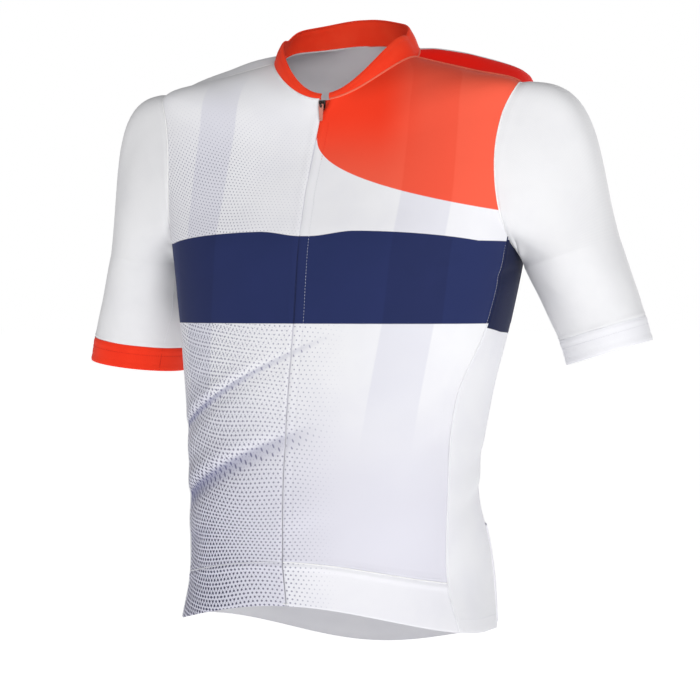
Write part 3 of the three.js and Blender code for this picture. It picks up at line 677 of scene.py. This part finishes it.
def collar(material):
    v, t = lerp(COLLAR_START, 4 - COLLAR_LAST, bunched(210, 0.3)), bunched(16, 0.5)[:, None]
    height = collar_points(v, t)[1]
    down = (1 - t) * height
    out = seam_roll(t * height, 0.35, 1.6, 0.35) - 0.35 * bell(down, 0.8)
    out += 0.3 * (bell(down - 3, 1.6) - bell(down - 6, 0.8)) * smooth(height / 14)
    uv = ((v - 2) * 130, t * height)
    cloth_shell("collar_cloth", collar_points(v, t, out)[0], uv, material, "collar", 1.4)


def zip_tape(side, material):
    name, w = f"zip_tape_{WORDS[side]}", np.linspace(0.8, NECK - 0.6, 240)[:, None]
    across = side * np.array([0.35, 1.4, 3.0, 6.0, 9.0, 11.0, 12.0])
    points = cloth_point((across + zip_lean(w)) / quarter_length(w), w, -1.75)
    cloth_shell(f"{name}_cloth", points, (across, w), material, name, 0.7)


# Finishes

def colour(red, green, blue):
    """A screen colour, 0 to 255, as the renderer's own linear values."""
    values = [v / 255 for v in (red, green, blue)]
    return tuple(v / 12.92 if v <= 0.04045 else ((v + 0.055) / 1.055) ** 2.4 for v in values) + (1.0,)


WHITE = colour(233, 233, 236)
SHADE = colour(224, 224, 230)
LOW_BODY_PAINTED_SHADE = colour(211, 210, 221)
NAVY = colour(36, 46, 88)
NAVY_DEEP = colour(31, 39, 76)
CORAL = colour(238, 92, 68)
CORAL_RED = colour(238, 58, 30)
CORAL_DEEP = colour(252, 22, 2)
DOT_DARK = colour(48, 48, 78)
DOT_PALE = colour(168, 167, 186)
# Heights of the navy band: on the sides and back, and on the tapes and threads.
BAND_TOP, BAND_FOOT = -188.0, -279.5
TRIM_BAND_TOP, TRIM_BAND_FOOT = -190.0, -278.6
# On the fronts its top curves: this is its height at the zip.
FRONT_BAND_TOP, FRONT_BAND_FOOT = -190.6, -279.0
# How far it sinks from the fronts to the sides, and from there to the back.
BAND_DROPS = (8.0, 4.0)
# Spacing of the printed dots, between their columns' pairs and along a column.
DOT_SPACING = (5.3, 9.2)
SMALL_DOT_SPACING = (4.0, 6.9)
MESH_HOLE_SPACING = (2.6, 1.5)
# The foot of the coral chest: its height at the zip, its fall over the way to the armhole, and its curve.
CORAL_FOOT = {"at_zip": -87.5, "fall": 76.0, "way": 180.0, "curve": 0.45}


def sign(operation, swapped=False):
    def reckon(a, b):
        return a.finish.math(operation, *((b, a) if swapped else (a, b)))

    return reckon


class Value:
    """A value in a finish's nodes. The usual signs reckon with it, by adding nodes."""

    def __init__(self, finish, socket):
        self.finish, self.socket = finish, socket

    __add__ = __radd__ = sign("ADD")
    __mul__ = __rmul__ = sign("MULTIPLY")
    __sub__, __rsub__ = sign("SUBTRACT"), sign("SUBTRACT", True)
    __truediv__ = sign("DIVIDE")

    def __abs__(self):
        return self.finish.math("ABSOLUTE", self)


class Finish:
    """A material being made: short names for the nodes that the jersey's finishes use."""

    def __init__(self, name, roughness=0.7, sheen=0.03, metallic=0.0):
        self.material = bpy.data.materials.new(name)
        self.material.use_nodes = True
        self.tree = self.material.node_tree
        self.shader = self.tree.nodes["Principled BSDF"]
        for key, value in (
            ("Roughness", roughness), ("Sheen Weight", sheen), ("Sheen Roughness", 0.5), ("Metallic", metallic),
            ("Specular IOR Level", 0.5 if metallic else 0.1),
        ):
            self.link(value, self.shader.inputs[key])

    def link(self, source, socket):
        if isinstance(source, Value):
            self.tree.links.new(source.socket, socket)
        else:
            socket.default_value = source

    def node(self, kind, inputs, **settings):
        node = self.tree.nodes.new(f"ShaderNode{kind}")
        for key, value in settings.items():
            setattr(node, key, value)
        for key, value in inputs.items():
            self.link(value, node.inputs[key])
        return [Value(self, socket) for socket in node.outputs]

    def math(self, operation, *values):
        return self.node("Math", dict(enumerate(values)), operation=operation)[0]

    def sine(self, value):
        return self.math("SINE", value)

    def vector(self, operation, *values):
        way, length = self.node("VectorMath", dict(enumerate(values)), operation=operation)
        return length if operation == "LENGTH" else way

    def combine(self, x, y, z=0.0):
        return self.node("CombineXYZ", {0: x, 1: y, 2: z})[0]

    def separate(self, vector):
        return self.node("SeparateXYZ", {0: vector})

    def in_mm(self, coordinate):
        return self.vector("MULTIPLY", coordinate, (1000.0, 1000.0, 1000.0))

    def place(self):
        """Object coordinates, in millimetres."""
        node = self.tree.nodes.new("ShaderNodeTexCoord")
        return self.in_mm(Value(self, node.outputs["Object"]))

    def cloth(self):
        """The cloth's own coordinates, in millimetres: round it, and up it."""
        return self.in_mm(self.node("UVMap", {}, uv_map="cloth")[0])

    def span(self, value, low, high, start=0.0, end=1.0, kind="SMOOTHSTEP"):
        """start below low, end above high, and smoothly between; low may be the larger."""
        if low > high:
            low, high, start, end = high, low, end, start
        inputs = {"Value": value, "From Min": low, "From Max": high, "To Min": start, "To Max": end}
        return self.node("MapRange", inputs, interpolation_type=kind)[0]

    def slope(self, value, low, high, start, end):
        return self.span(value, low, high, start, end, "LINEAR")

    def between(self, value, low, high, soft):
        return self.span(value, low - soft, low + soft) * self.span(value, high - soft, high + soft, 1.0, 0.0)

    def mix(self, factor, a, b):
        return self.node("Mix", {0: factor, 6: a, 7: b}, data_type="RGBA")[2]

    def noise(self, vector, scale, detail=3.0, roughness=0.5):
        inputs = {"Vector": vector, "Scale": scale, "Detail": detail, "Roughness": roughness}
        return self.node("TexNoise", inputs)[0]

    def bump(self, height, distance, strength=1.0, below=None):
        """Relief up to distance mm, over what is below."""
        inputs = {"Strength": strength, "Distance": distance * MM, "Height": height}
        return self.node("Bump", inputs if below is None else {**inputs, "Normal": below})[0]

    def lattice(self, vector, across, along):
        """Distance in mm from the nearest dot of a staggered pattern, columns across/2 apart, dots along apart."""
        high, low = (across / 2, along / 2, 1.0), (-across / 2, -along / 2, -1.0)
        moved = self.vector("ADD", vector, (across / 2, along / 2, 0.0))
        ways = [self.vector("WRAP", v, high, low) for v in (vector, moved)]
        lengths = [self.vector("LENGTH", self.vector("MULTIPLY", v, (1.0, 1.0, 0.0))) for v in ways]
        return self.math("MINIMUM", *lengths)

    def done(self, base, normal=None, roughness=None):
        for key, value in (("Base Color", base), ("Normal", normal), ("Roughness", roughness)):
            if value is not None:
                self.link(value, self.shader.inputs[key])
        return self.material


def knit_height(f, wale=1.05, course=0.85):
    """Fine jersey knit: upright wales, each stitch a small V leaning into the next."""
    arc, up, _ = f.separate(f.cloth())
    rib = abs(f.sine(arc * (math.pi / wale)))
    stitch = f.sine((up * (1 / course) + rib * 0.4) * (2 * math.pi))
    return rib * 0.6 + stitch * 0.25


def knit_normal(f, depth=0.07, wale=1.05, course=0.85):
    fibre = f.noise(f.place(), 1.6, 3.0, 0.6)
    return f.bump(knit_height(f, wale, course) + fibre * 0.25, depth, 0.7)


def mottle(f, base, other, scale=0.02, amount=0.5):
    """Slow, slight unevenness of dye and light through the cloth."""
    patch = f.span(f.noise(f.place(), scale, 3.0, 0.55), 0.35, 0.7)
    return f.mix(patch * amount, base, other)


def plain_knit(name, base, other):
    f = Finish(name, 0.72)
    hollow = f.span(knit_height(f), -0.2, 0.5)
    # Painted shade: the knit's low places are a little darker.
    cloth = f.mix((1.0 - hollow) * 0.07, mottle(f, base, other), (0.35, 0.35, 0.42, 1))
    return f.done(cloth, knit_normal(f))


def stripe(f, cloth, coordinate, tones):
    """The navy band round the chest, lower towards the back."""
    _, y, z = f.separate(f.place())
    drop = f.slope(y, -48.0, 12.0, 0.0, BAND_DROPS[0]) + f.slope(y, 12.0, 110.0, 0.0, BAND_DROPS[1])
    band = f.between(z + drop, BAND_FOOT, BAND_TOP, 0.35)
    return f.mix(band, cloth, f.mix(f.noise(coordinate, 0.35, 2.0), *tones))


def mesh_knit(name):
    """Open mesh knit: staggered pin holes in a white ground, with painted shade in the holes and on its navy band.
    """
    f = Finish(name, 0.75)
    pin = f.span(f.lattice(f.cloth(), *MESH_HOLE_SPACING), 0.2, 0.5, 1.0, 0.0)
    # Painted shade: the holes are greyer, for the shade seen through them.
    cloth = f.mix(pin * 0.5, mottle(f, WHITE, SHADE), colour(176, 177, 190))
    # Painted shade: the band is a darker navy here, as the side panels lie in shade under the arms.
    cloth = stripe(f, cloth, f.cloth(), (NAVY_DEEP, colour(18, 22, 48)))
    return f.done(cloth, f.bump(pin * -1.0, 0.12, 0.8, knit_normal(f, 0.05)))


def beside_fold(f, x, z, fold):
    """The share along a fold of the print, the mm above its bowed line, and its direction."""
    x1, z1, x2, z2 = fold[:4]
    dx, dz = x2 - x1, z2 - z1
    length = math.hypot(dx, dz)
    from_x, from_z = x - x1, z - z1
    t = from_x * (dx / length**2) + from_z * (dz / length**2)
    off = from_z * (dx / length) - from_x * (dz / length)
    arch = f.sine(f.math("MINIMUM", f.math("MAXIMUM", t, 0.0), 1.0) * math.pi)
    return t, off - arch * (BOW * length), dx / length, dz / length


def fold_painted_shade(f, x, z, fold):
    """How strongly a fold's painted shade darkens the print here."""
    first, last, above, beneath = fold[4:]
    t, off, _, _ = beside_fold(f, x, z, fold)
    over = f.span(off, 0.0, 2.2 * above, 1.0, 0.0)
    under = f.span(off, 0.0, -2.2 * beneath, 1.0, 0.0)
    return f.math("MINIMUM", over, under) * f.span(t, 1.0, 0.8) * f.slope(t, 0.0, 0.9, first, last)


def drawn_dots(f, cloth, x, z, fold, pull):
    """The cloth's coordinates, stretched across the underside of a fold by pull mm."""
    t, off, cos, sin = beside_fold(f, x, z, fold)
    amount = f.span(t, 0.0, 0.3) * f.span(t, 1.2, 0.8) * f.slope(off, -1.5 * fold[-1], 0.0, 0.0, -pull)
    return f.vector("ADD", cloth, f.combine(amount * -sin, amount * cos))


def printed_front(side, hem=False):
    """The printed fronts: grey tonal bands, fading dots, the navy stripe and, on the left, the coral chest, with
    painted shade in the folds and low on the body.
    """
    left = side > 0
    f = Finish(f"printed {'hem' if hem else 'knit'} {WORDS[side]}")
    place, cloth = f.place(), f.cloth()
    x, _, z = f.separate(place)
    arc, up, _ = f.separate(cloth)
    ground = mottle(f, WHITE, SHADE, 0.018, 0.45)
    # Painted shade: the ground darkens to lavender-grey low on the body, only a little on the left hem band.
    ground = f.mix(f.span(z, -300.0, -470.0) * (0.25 if hem and left else 0.85), ground, LOW_BODY_PAINTED_SHADE)

    # An upright tonal band, by the distance past its inner edge.
    fade = f.span(z, -330.0, -420.0, 1.0, 0.0)
    if left:
        inner = 87.0 + f.slope(z, -143.0, -277.0, 8.0, 0.0) - f.slope(z, -277.0, -395.0, 0.0, 16.0)
        width, strength, fade = 52.0, 0.5, fade * f.span(z, -84.0, -110.0, 0.35, 1.0)
    else:
        inner = f.slope(z, -75.0, -185.0, 97.0, 104.0)
        width, strength, fade = 42.0, 0.6, fade * f.span(z, -14.0, -64.0)
    reach = abs(arc) - inner
    ground = f.mix(f.between(reach, 0.0, width, 1.2) * fade * strength, ground, colour(208, 208, 220))

    # Dots under the stripe: darkest at the right side and hem, gone a little past the zip.
    ink = f.slope(arc, -4.0, 60.0, 0.42, 0.0) if left else f.slope(arc, -140.0, 0.0, 1.0, 0.42)
    inked = ink * f.slope(z, -280.0, -520.0, 0.42, 1.0)
    wave = f.sine(arc * (1 / 19) + up * (1 / 31))
    sway = f.sine(up * (1 / 27))
    outward = f.math("MINIMUM", arc + 50.0, 0.0)
    rise = outward * outward * -0.0014 + wave * 1.6
    drawn = waved = f.vector("ADD", cloth, f.combine(sway * 2.2, rise))
    for fold, pull in zip(FOLD_SHADES, FOLD_PULLS):
        drawn = drawn_dots(f, drawn, x, z, fold, pull)
    edge = f.lattice(drawn, *DOT_SPACING) - (inked * 1.25 + 0.5)
    dot = f.span(edge, -0.22, 0.22, 1.0, 0.0) * f.span(ink, 0.0, 0.4)
    below = f.span(z, FRONT_BAND_FOOT, FRONT_BAND_FOOT - 1.0)
    ground = f.mix(inked * inked * 0.5 * below, ground, colour(206, 207, 226))
    ground = f.mix(dot * below, ground, f.mix(f.slope(inked, 0.1, 0.75, 0.0, 1.0), DOT_PALE, DOT_DARK))

    if not left:
        # Small faint dots over the chest, densest towards the armhole.
        outer = f.span(arc, -6.0, -112.0, 0.38, 0.9) * f.span(z, -24.0, -120.0)
        dot = f.span(f.lattice(waved, *SMALL_DOT_SPACING) - (outer * 0.42 + 0.32), -0.2, 0.2, 1.0, 0.0)
        ground = f.mix(outer * 0.06, ground, colour(204, 204, 220))
        ground = f.mix(dot * outer, ground, f.mix(outer, DOT_PALE, colour(92, 92, 120)))

    # Painted shade along the folds: the print darkened towards blue-grey above and below each fold's line.
    for fold in FOLD_SHADES:
        ground = f.mix(fold_painted_shade(f, x, z, fold), ground, colour(104, 106, 146))

    # Navy stripe, its own tonal band darker; its top rises beside the zip and falls towards the sides.
    fall = f.slope(abs(arc), 40.0, 180.0, 0.0, 1.0)
    crest = f.span(abs(arc), 4.0, 52.0, 0.0, 5.0) - fall * fall * 10.0
    band = f.span(z, FRONT_BAND_FOOT, FRONT_BAND_FOOT + 0.7)
    band = band * f.span(z - crest - FRONT_BAND_TOP, -0.35, 0.35, 1.0, 0.0)
    navy = f.mix(f.between(reach, 0.0, 60.0, 1.2) * 0.55, NAVY, NAVY_DEEP)
    navy = f.mix(f.noise(place, 0.03) * 0.3, navy, colour(44, 52, 104))
    ground = f.mix(band, ground, navy)

    if left:
        # Coral chest: its foot runs down from the zip in a long curve to the armhole.
        share = f.math("MAXIMUM", x + 4.0, 0.001) / CORAL_FOOT["way"]
        line = CORAL_FOOT["at_zip"] - f.math("POWER", share, CORAL_FOOT["curve"]) * CORAL_FOOT["fall"]
        coral = f.mix(f.noise(place, 0.015) * 0.4, CORAL, colour(242, 98, 74))
        coral = f.mix(f.span(z, -150.0, -60.0) * f.span(arc, 120.0, 60.0), coral, CORAL_RED)
        coral = f.mix(f.between(reach, 0.0, width, 1.2) * 0.3, coral, colour(228, 62, 38))
        ground = f.mix(f.span(z - line, -0.4, 0.4), ground, coral)
    return f.done(ground, knit_normal(f, 0.06))


def back_knit():
    """The back: white knit with the stripe, and a coral strip along its left shoulder seam."""
    f = Finish("printed knit back", 0.72)
    x, y, z = f.separate(f.place())
    ground = stripe(f, mottle(f, WHITE, SHADE, 0.015), f.place(), (NAVY, NAVY_DEEP))
    edge = 26.5 - f.slope(x, 60.0, 195.0, 0.0, 18.0) + f.slope(x, 60.0, 195.0, 22.0, 46.0)
    strip = f.span(y - edge, -0.5, 0.5, 1.0, 0.0) * f.span(x, 20.0, 24.0) * f.span(z, -110.0, -100.0)
    return f.done(f.mix(strip, ground, CORAL_DEEP), knit_normal(f, 0.06))


def collar_knit():
    f = Finish("coral collar knit", 0.72)
    base = mottle(f, CORAL_RED, colour(242, 72, 42), 0.03, 0.6)
    return f.done(base, knit_normal(f, 0.09, 1.3, 1.0))


def rib_knit(name, base, other):
    """Cuff: fine upright ribs, with painted shade between them."""
    f = Finish(name, 0.7, 0.06)
    rib = abs(f.sine(f.separate(f.cloth())[0] * (math.pi / 1.8)))
    # Painted shade in the grooves between the ribs.
    cloth = f.mix((1.0 - rib) * 0.18, mottle(f, base, other), other)
    return f.done(cloth, f.bump(rib, 0.12, 0.7, knit_normal(f, 0.04)))


def tape_weave():
    """Zip tape: white below, coral in the open V at the neck, twill woven."""
    f = Finish("zip tape weave", 0.8, 0.06)
    x, _, z = f.separate(f.place())
    twill = f.sine((x + z) * (2 * math.pi / 0.9))
    base = f.mix(f.span(z, -99.0, -97.0), colour(214, 214, 224), colour(214, 60, 38))
    base = f.mix(f.between(z, TRIM_BAND_FOOT, BAND_TOP, 0.4), base, NAVY)
    return f.done(base, f.bump(twill, 0.1, 0.6))


def thread(name, base, in_stripe=None, at_neck=None, neck_foot=-91.0, left=None):
    """Spun thread or cord; in_stripe, at_neck and left are its colours in the band, by the neck and on the left."""
    f = Finish(name, 0.6, 0.06)
    x, y, z = f.separate(f.place())
    if in_stripe:
        base = f.mix(f.between(z, TRIM_BAND_FOOT, TRIM_BAND_TOP, 0.4), base, in_stripe)
    if at_neck:
        base = f.mix(f.span(z, neck_foot - 2, neck_foot + 2), base, at_neck)
    if left:
        base = f.mix(f.span(x, -4.0, 4.0), base, left)
    ply = f.sine((x + y + z) * (2 * math.pi / 0.5))
    # Painted shade: darker in the grooves between the plies.
    base = f.mix(f.span(ply, -1.0, 1.0, 0.16, 0.0), base, (0.0, 0.0, 0.01, 1))
    return f.done(base, f.bump(ply, 0.08, 0.6))


def gunmetal():
    f = Finish("gunmetal", 0.32, 0.0, 0.85)
    wear = f.noise(f.place(), 0.6, 4.0, 0.6)
    base = f.mix(f.span(wear, 0.45, 0.75), colour(58, 54, 54), colour(120, 114, 112))
    return f.done(base, f.bump(f.noise(f.place(), 2.5), 0.05, 0.5), f.span(wear, 0.3, 0.8, 0.24, 0.45))


def rose_pull():
    f = Finish("rose enamelled pull", 0.35, 0.0, 0.1)
    wear = f.noise(f.place(), 0.5, 4.0, 0.6)
    base = f.mix(f.span(wear, 0.5, 0.8), colour(196, 122, 108), colour(128, 72, 66))
    return f.done(base, f.bump(wear, 0.05, 0.4))


# Sewing and small parts

def path_through(places):
    """A curve through places given in mm."""
    deselect_all()
    bpy.ops.curve.primitive_nurbs_path_add()
    path = bpy.context.object
    path.data.splines.clear()
    line = path.data.splines.new("POLY")
    line.points.add(len(places) - 1)
    line.points.foreach_set("co", np.concatenate([places * MM, np.ones((len(places), 1))], 1).ravel())
    return path


def piping(name, places, radius, material):
    """A fine round cord sewn along the places."""
    path = path_through(places)
    path.data.bevel_depth = radius * MM
    path.data.bevel_resolution = 1
    path.data.use_fill_caps = True
    only(path)
    bpy.ops.object.convert(target="MESH")
    piece = new_object(name)
    only(piece)
    bpy.ops.object.shade_smooth_by_angle(angle=math.radians(60))
    finish_piece(piece, material)


def bead(length, thick, segments=6, rings=4):
    """One stitch or tooth: a small round-ended bead from the origin along X."""
    deselect_all()
    bpy.ops.mesh.primitive_uv_sphere_add(
        segments=segments, ring_count=rings, radius=0.5 * MM, location=(length / 2 * MM, 0, 0),
        rotation=(0, math.pi / 2, 0), scale=(thick, thick, length),
    )
    bpy.ops.object.transform_apply(location=True, rotation=True, scale=True)


def repeat_along(name, places, pitch, material):
    """Repeats the bead just made along the places, and finishes the row."""
    piece = new_object(name)
    length = np.linalg.norm(np.diff(places, axis=0), axis=1).sum()
    apply_modifier(
        piece, "ARRAY", count=int(length / pitch), use_relative_offset=False, use_constant_offset=True,
        constant_offset_displace=(pitch * MM, 0, 0),
    )
    path = path_through(places)
    apply_modifier(piece, "CURVE", object=path, deform_axis="POS_X")
    only(path)
    bpy.ops.object.delete()
    only(piece)
    bpy.ops.object.shade_smooth()
    finish_piece(piece, material)


def stitches(name, places, material, length=2.0, gap=1.0, thick=0.42):
    """A row of lockstitches along the places."""
    bead(length, thick)
    repeat_along(name, places, length + gap, material)


def sew_side(side, word, threads):
    """The seams and topstitched lines that both sides have."""
    white, shade, bright = threads["white"], threads["shade"], threads["bright"]
    left = side > 0
    # Side seams: a flat cord in the join, one topstitched line on the front and the back.
    for place, seam, shift in (("front", front_seam, -2.2), ("back", back_seam, 2.2)):
        w = np.linspace(1.0, JOIN - 1, 260)
        piping(f"side_seam_{place}_{word}", cloth_point(side * seam(w), w, -0.1), 0.95, threads["side"])
        w = np.linspace(3.0, JOIN - 6, 260)
        row = cloth_point(side * (seam(w) + shift / quarter_length(w)), w, 0.16)
        stitches(f"side_stitches_{place}_{word}", row, white, length=1.9, gap=0.9)
    # Armhole: a pale piping all round the seam, in a gentle groove.
    u, w = armhole_at(np.linspace(-90, 270, 300))
    piping(f"armhole_seam_{word}", cloth_point(side * u, w, 0.1), 0.85, bright)
    # Shoulder seam, from the armhole to the neck.
    w = np.linspace(TIP + 1, NECK - 1, 90)
    tone = threads["piping"] if left else bright
    piping(f"shoulder_seam_{word}", cloth_point(side, w, 0.6), 1.1, tone)
    # Hem band: a raised seam above it, and stitching just over the seam.
    u = side * np.linspace(front_edge(HEM_BAND, side), front_seam(HEM_BAND) - 0.004, 150)
    seam = cloth_point(u, HEM_BAND, 0.0)
    piping(f"hem_band_seam_{word}", seam, 0.7, bright if left else shade)
    stitches(f"hem_band_stitches_{word}", cloth_point(u, HEM_BAND + 3.4, 0.42), shade)
    # Underarm seam, a little to the front, on the sleeve and on the cuff.
    tone, slot = (white, "white_knit") if left else (threads["deep"], "coral_knit")
    line = sleeve_points(word, UNDERARM_ANGLE, np.linspace(0.06, 1.97, 90), -0.2)
    piping(f"underarm_seam_sleeve_{word}", line, 0.45, white)
    line = sleeve_points(word, UNDERARM_ANGLE, np.linspace(2.03, 2.96, 90), -0.2)
    piping(f"underarm_seam_cuff_{word}", line, 0.45, tone)
    # Cuff: its seam, the stitching above it and the stitching of its fold.
    ring = np.linspace(-90, 270, 200)
    seam = sleeve_points(word, ring, 1.996, -0.35)
    piping(f"cuff_seam_{word}", seam, 0.55, white if left else threads["coral"])
    row = sleeve_points(word, ring, 1.90, 0.2)
    stitches(f"cuff_stitches_{word}", row, white, length=1.9, gap=0.9, thick=0.4)
    row = sleeve_points(word, ring, 2.3, 0.1)
    stitches(f"cuff_fold_stitches_{word}", row, shade if left else threads["deep"], 1.9, 0.7)
    # The front's folded edge beside the zip.
    w = np.linspace(2, NECK - 1, 300)
    edge = cloth_point(side * (front_edge(w, side) + 0.1 / quarter_length(w)), w, -0.55)
    piping(f"zip_edge_{word}", edge, 0.5, threads[f"zip_edge_{word}"])


def sew(threads):
    """Every visible seam, hem and topstitched line."""
    white, shade = threads["white"], threads["shade"]
    for side, word in WORDS.items():
        sew_side(side, word, threads)
    # Topstitching of the zip's flap, on the left front only.
    w = np.linspace(6, NECK - 46, 420)
    row = cloth_point(front_edge(w, 1) + 10.4 / quarter_length(w), w, 0.3)
    stitches("zip_topstitch", row, threads["flap"], 2.0, 1.2, 0.5)
    # Hem of the back and sides.
    start = back_seam(HEM_FOLD) + 0.01
    row = cloth_point(wrapped(np.linspace(start, 4 - start, 330)), 5.0, 2.6)
    stitches("back_hem_stitches", row, white)
    for side, word in WORDS.items():
        u = side * np.linspace(front_seam(14.0) + 0.012, back_seam(14.0) - 0.012, 80)
        stitches(f"side_hem_stitches_{word}", cloth_point(u, 14.0, 0.2), shade, thick=0.45)
    # The pocket panel's bound top, the stitching below it, and the two rows between the pockets.
    a = np.linspace(0.01, 0.99, 340)
    piping("pocket_top_binding", pocket_points(a, 1.0, -0.3 - pocket_side_dip(a))[0], 0.8, threads["binding"])
    row = pocket_points(a, 1 - 11 / (pocket_top(a) - POCKET["foot"]), 0.05)[0]
    stitches("pocket_top_stitches", row, white)
    for number in (1, 2):
        row = pocket_points(number / 3, np.linspace(0.03, 0.985, 130), -0.55)[0]
        stitches(f"pocket_divider_stitches_{number}", row, shade, length=2.2, gap=0.9, thick=0.55)
    # Collar: piping round its base, topstitching under its rolled edge.
    v = np.linspace(COLLAR_START + 0.01, 4 - COLLAR_LAST - 0.01, 420)
    piping("collar_base_piping", collar_points(v, 0.0, 0.15)[0], 1.1, threads["piping"])
    v = np.linspace(COLLAR_START + 0.12, 4 - COLLAR_LAST - 0.12, 420)
    height = collar_points(v, 0.5)[1]
    row = collar_points(v, 1 - np.minimum(6.0 / np.maximum(height, 1), 0.6), 0.1)[0]
    stitches("collar_topstitch", row, threads["coral"])


# The teeth's distance from the zip's middle, closed and added where parted; the slider's length; their pitch.
TEETH = {"closed": 0.42, "parted": 4.2, "slider": 11.0, "pitch": 1.25}


def zip_teeth(material, cord):
    """The coil's teeth, closed below the slider and parted above it, and the bar across the zip's foot."""
    for side, word in WORDS.items():
        w = np.linspace(1.5, NECK - 1.5, 420)
        apart = TEETH["closed"] + TEETH["parted"] * smooth(1 - (NECK - w) / TEETH["slider"])
        places = cloth_point((side * apart + zip_lean(w)) / quarter_length(w), w, -1.25)
        bead(0.95, 1.0, 7, 5)
        places = places if side > 0 else places[3:]
        repeat_along(f"zip_teeth_{word}", places, TEETH["pitch"], material)
    at = 2.6
    foot = cloth_point((np.linspace(-at, at, 9) + zip_lean(at)) / quarter_length(at), at, 0.2)
    piping("zip_foot_bar", foot, 0.8, cord)


# The scene

CAMERA_PLACE = (0.899, -2.225, -0.255)
CAMERA_AZIMUTH = 22
CAMERA_LENS = {"lens": 118.5, "sensor_width": 36, "shift_x": 0.0171, "shift_y": -0.0714, "clip_end": 50}
FLOOR_HEIGHT = -0.95
FLOOR_GLOW = 0.82
# Strength of the room's light at the height of the eye, and overhead.
ROOM_LIGHT = (0.65, 0.10)


def add_to_scene(name, data, place, turn):
    holder = bpy.data.objects.new(name, data)
    bpy.context.scene.collection.objects.link(holder)
    holder.location = place
    holder.rotation_euler = turn
    return holder


def set_camera():
    camera = bpy.data.cameras.new("camera")
    for key, value in CAMERA_LENS.items():
        setattr(camera, key, value)
    turn = (math.radians(90), 0, math.radians(CAMERA_AZIMUTH))
    bpy.context.scene.camera = add_to_scene("camera", camera, CAMERA_PLACE, turn)


def soft_light(name, place, aim, size, power):
    light = bpy.data.lights.new(name, "AREA")
    light.shape = "DISK"
    light.size = size
    light.energy = power
    add_to_scene(name, light, place, (Vector(aim) - Vector(place)).to_track_quat("-Z", "Y").to_euler())


def set_floor():
    deselect_all()
    bpy.ops.mesh.primitive_plane_add(size=120, location=(0, 0, FLOOR_HEIGHT))
    floor = new_object("studio_floor")
    only(floor)
    bpy.ops.object.transform_apply(location=True)
    f = Finish("pale studio floor", 0.9, 0.0)
    f.shader.inputs["Emission Color"].default_value = (1, 1, 1, 1)
    f.shader.inputs["Emission Strength"].default_value = FLOOR_GLOW
    put_on(floor, f.done(f.mix(f.noise(f.place(), 0.002), (0.72, 0.72, 0.72, 1), (0.75, 0.75, 0.75, 1))))


def set_room():
    """White behind the jersey; round it a soft room, its ceiling darker than its walls."""
    world = bpy.context.scene.world or bpy.data.worlds.new("studio")
    bpy.context.scene.world = world
    world.use_nodes = True
    nodes = world.node_tree.nodes
    kinds = ("Background", "TexCoord", "SeparateXYZ", "MapRange", "LightPath", "MixShader")
    backdrop, direction, parts, height, seen, choice = (nodes.new(f"ShaderNode{kind}") for kind in kinds)
    around = nodes["Background"]
    around.inputs["Color"].default_value = backdrop.inputs["Color"].default_value = (1.0, 1.0, 1.0, 1)
    backdrop.inputs["Strength"].default_value = 1.0
    for key, value in zip(("From Min", "From Max", "To Min", "To Max"), (0.0, 0.9, *ROOM_LIGHT)):
        height.inputs[key].default_value = value
    for source, target in (
        (direction.outputs["Generated"], parts.inputs[0]),
        (parts.outputs["Z"], height.inputs["Value"]),
        (height.outputs["Result"], around.inputs["Strength"]),
        (seen.outputs["Is Camera Ray"], choice.inputs[0]),
        (around.outputs[0], choice.inputs[1]),
        (backdrop.outputs[0], choice.inputs[2]),
        (choice.outputs[0], nodes["World Output"].inputs["Surface"]),
    ):
        world.node_tree.links.new(source, target)


def set_studio():
    set_floor()
    set_room()
    soft_light("key light", place=(1.7, -2.6, 0.7), aim=(0, 0, -0.3), size=1.3, power=44)
    soft_light("back light", place=(0.4, 2.6, 0.6), aim=(0, 0, -0.25), size=1.4, power=16)
    bpy.context.scene.view_settings.view_transform = "Standard"


def make_jersey():
    white = plain_knit("white sleeve knit", colour(227, 227, 229), colour(219, 219, 222))
    edge = colour(226, 226, 234)
    threads = {
        "white": thread("white thread", colour(236, 236, 240)),
        "bright": thread("bright white cord", colour(255, 255, 255)),
        "side": thread("side seam cord", colour(246, 246, 250), NAVY_DEEP),
        "shade": thread("grey-white thread", colour(222, 222, 230)),
        "coral": thread("coral thread", colour(236, 60, 38)),
        "deep": thread("deep coral thread", colour(206, 34, 14)),
        "piping": thread("neck piping", colour(246, 243, 244), left=colour(247, 118, 92)),
        "flap": thread("zip flap thread", colour(226, 226, 232), colour(204, 208, 226), CORAL_RED, -112.0),
        "binding": thread("grey binding", colour(170, 172, 186)),
        "zip_edge_left": thread("left zip edge", edge, NAVY_DEEP, CORAL_RED),
        "zip_edge_right": thread("right zip edge", edge, NAVY, colour(240, 214, 212)),
    }
    for side, word in WORDS.items():
        front(side, printed_front(side))
        hem_band(side, printed_front(side, True))
        side_panel(side, mesh_knit(f"mesh knit {word}"))
        sleeve(side, white)
        zip_tape(side, tape_weave())
    back(back_knit())
    pockets(plain_knit("pocket knit", colour(238, 238, 243), SHADE))
    cuff(1, rib_knit("white cuff knit", WHITE, SHADE))
    cuff(-1, rib_knit("coral cuff knit", colour(240, 56, 28), colour(222, 40, 18)))
    collar(collar_knit())
    sew(threads)
    zip_teeth(thread("zip teeth", colour(206, 206, 216), colour(20, 25, 52), colour(150, 40, 30)), threads["white"])
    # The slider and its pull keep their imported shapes, in a finer finish.
    put_on(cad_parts["zip_slider"], gunmetal())
    put_on(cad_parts["zip_pull"], rose_pull())


set_camera()
set_studio()
make_jersey()
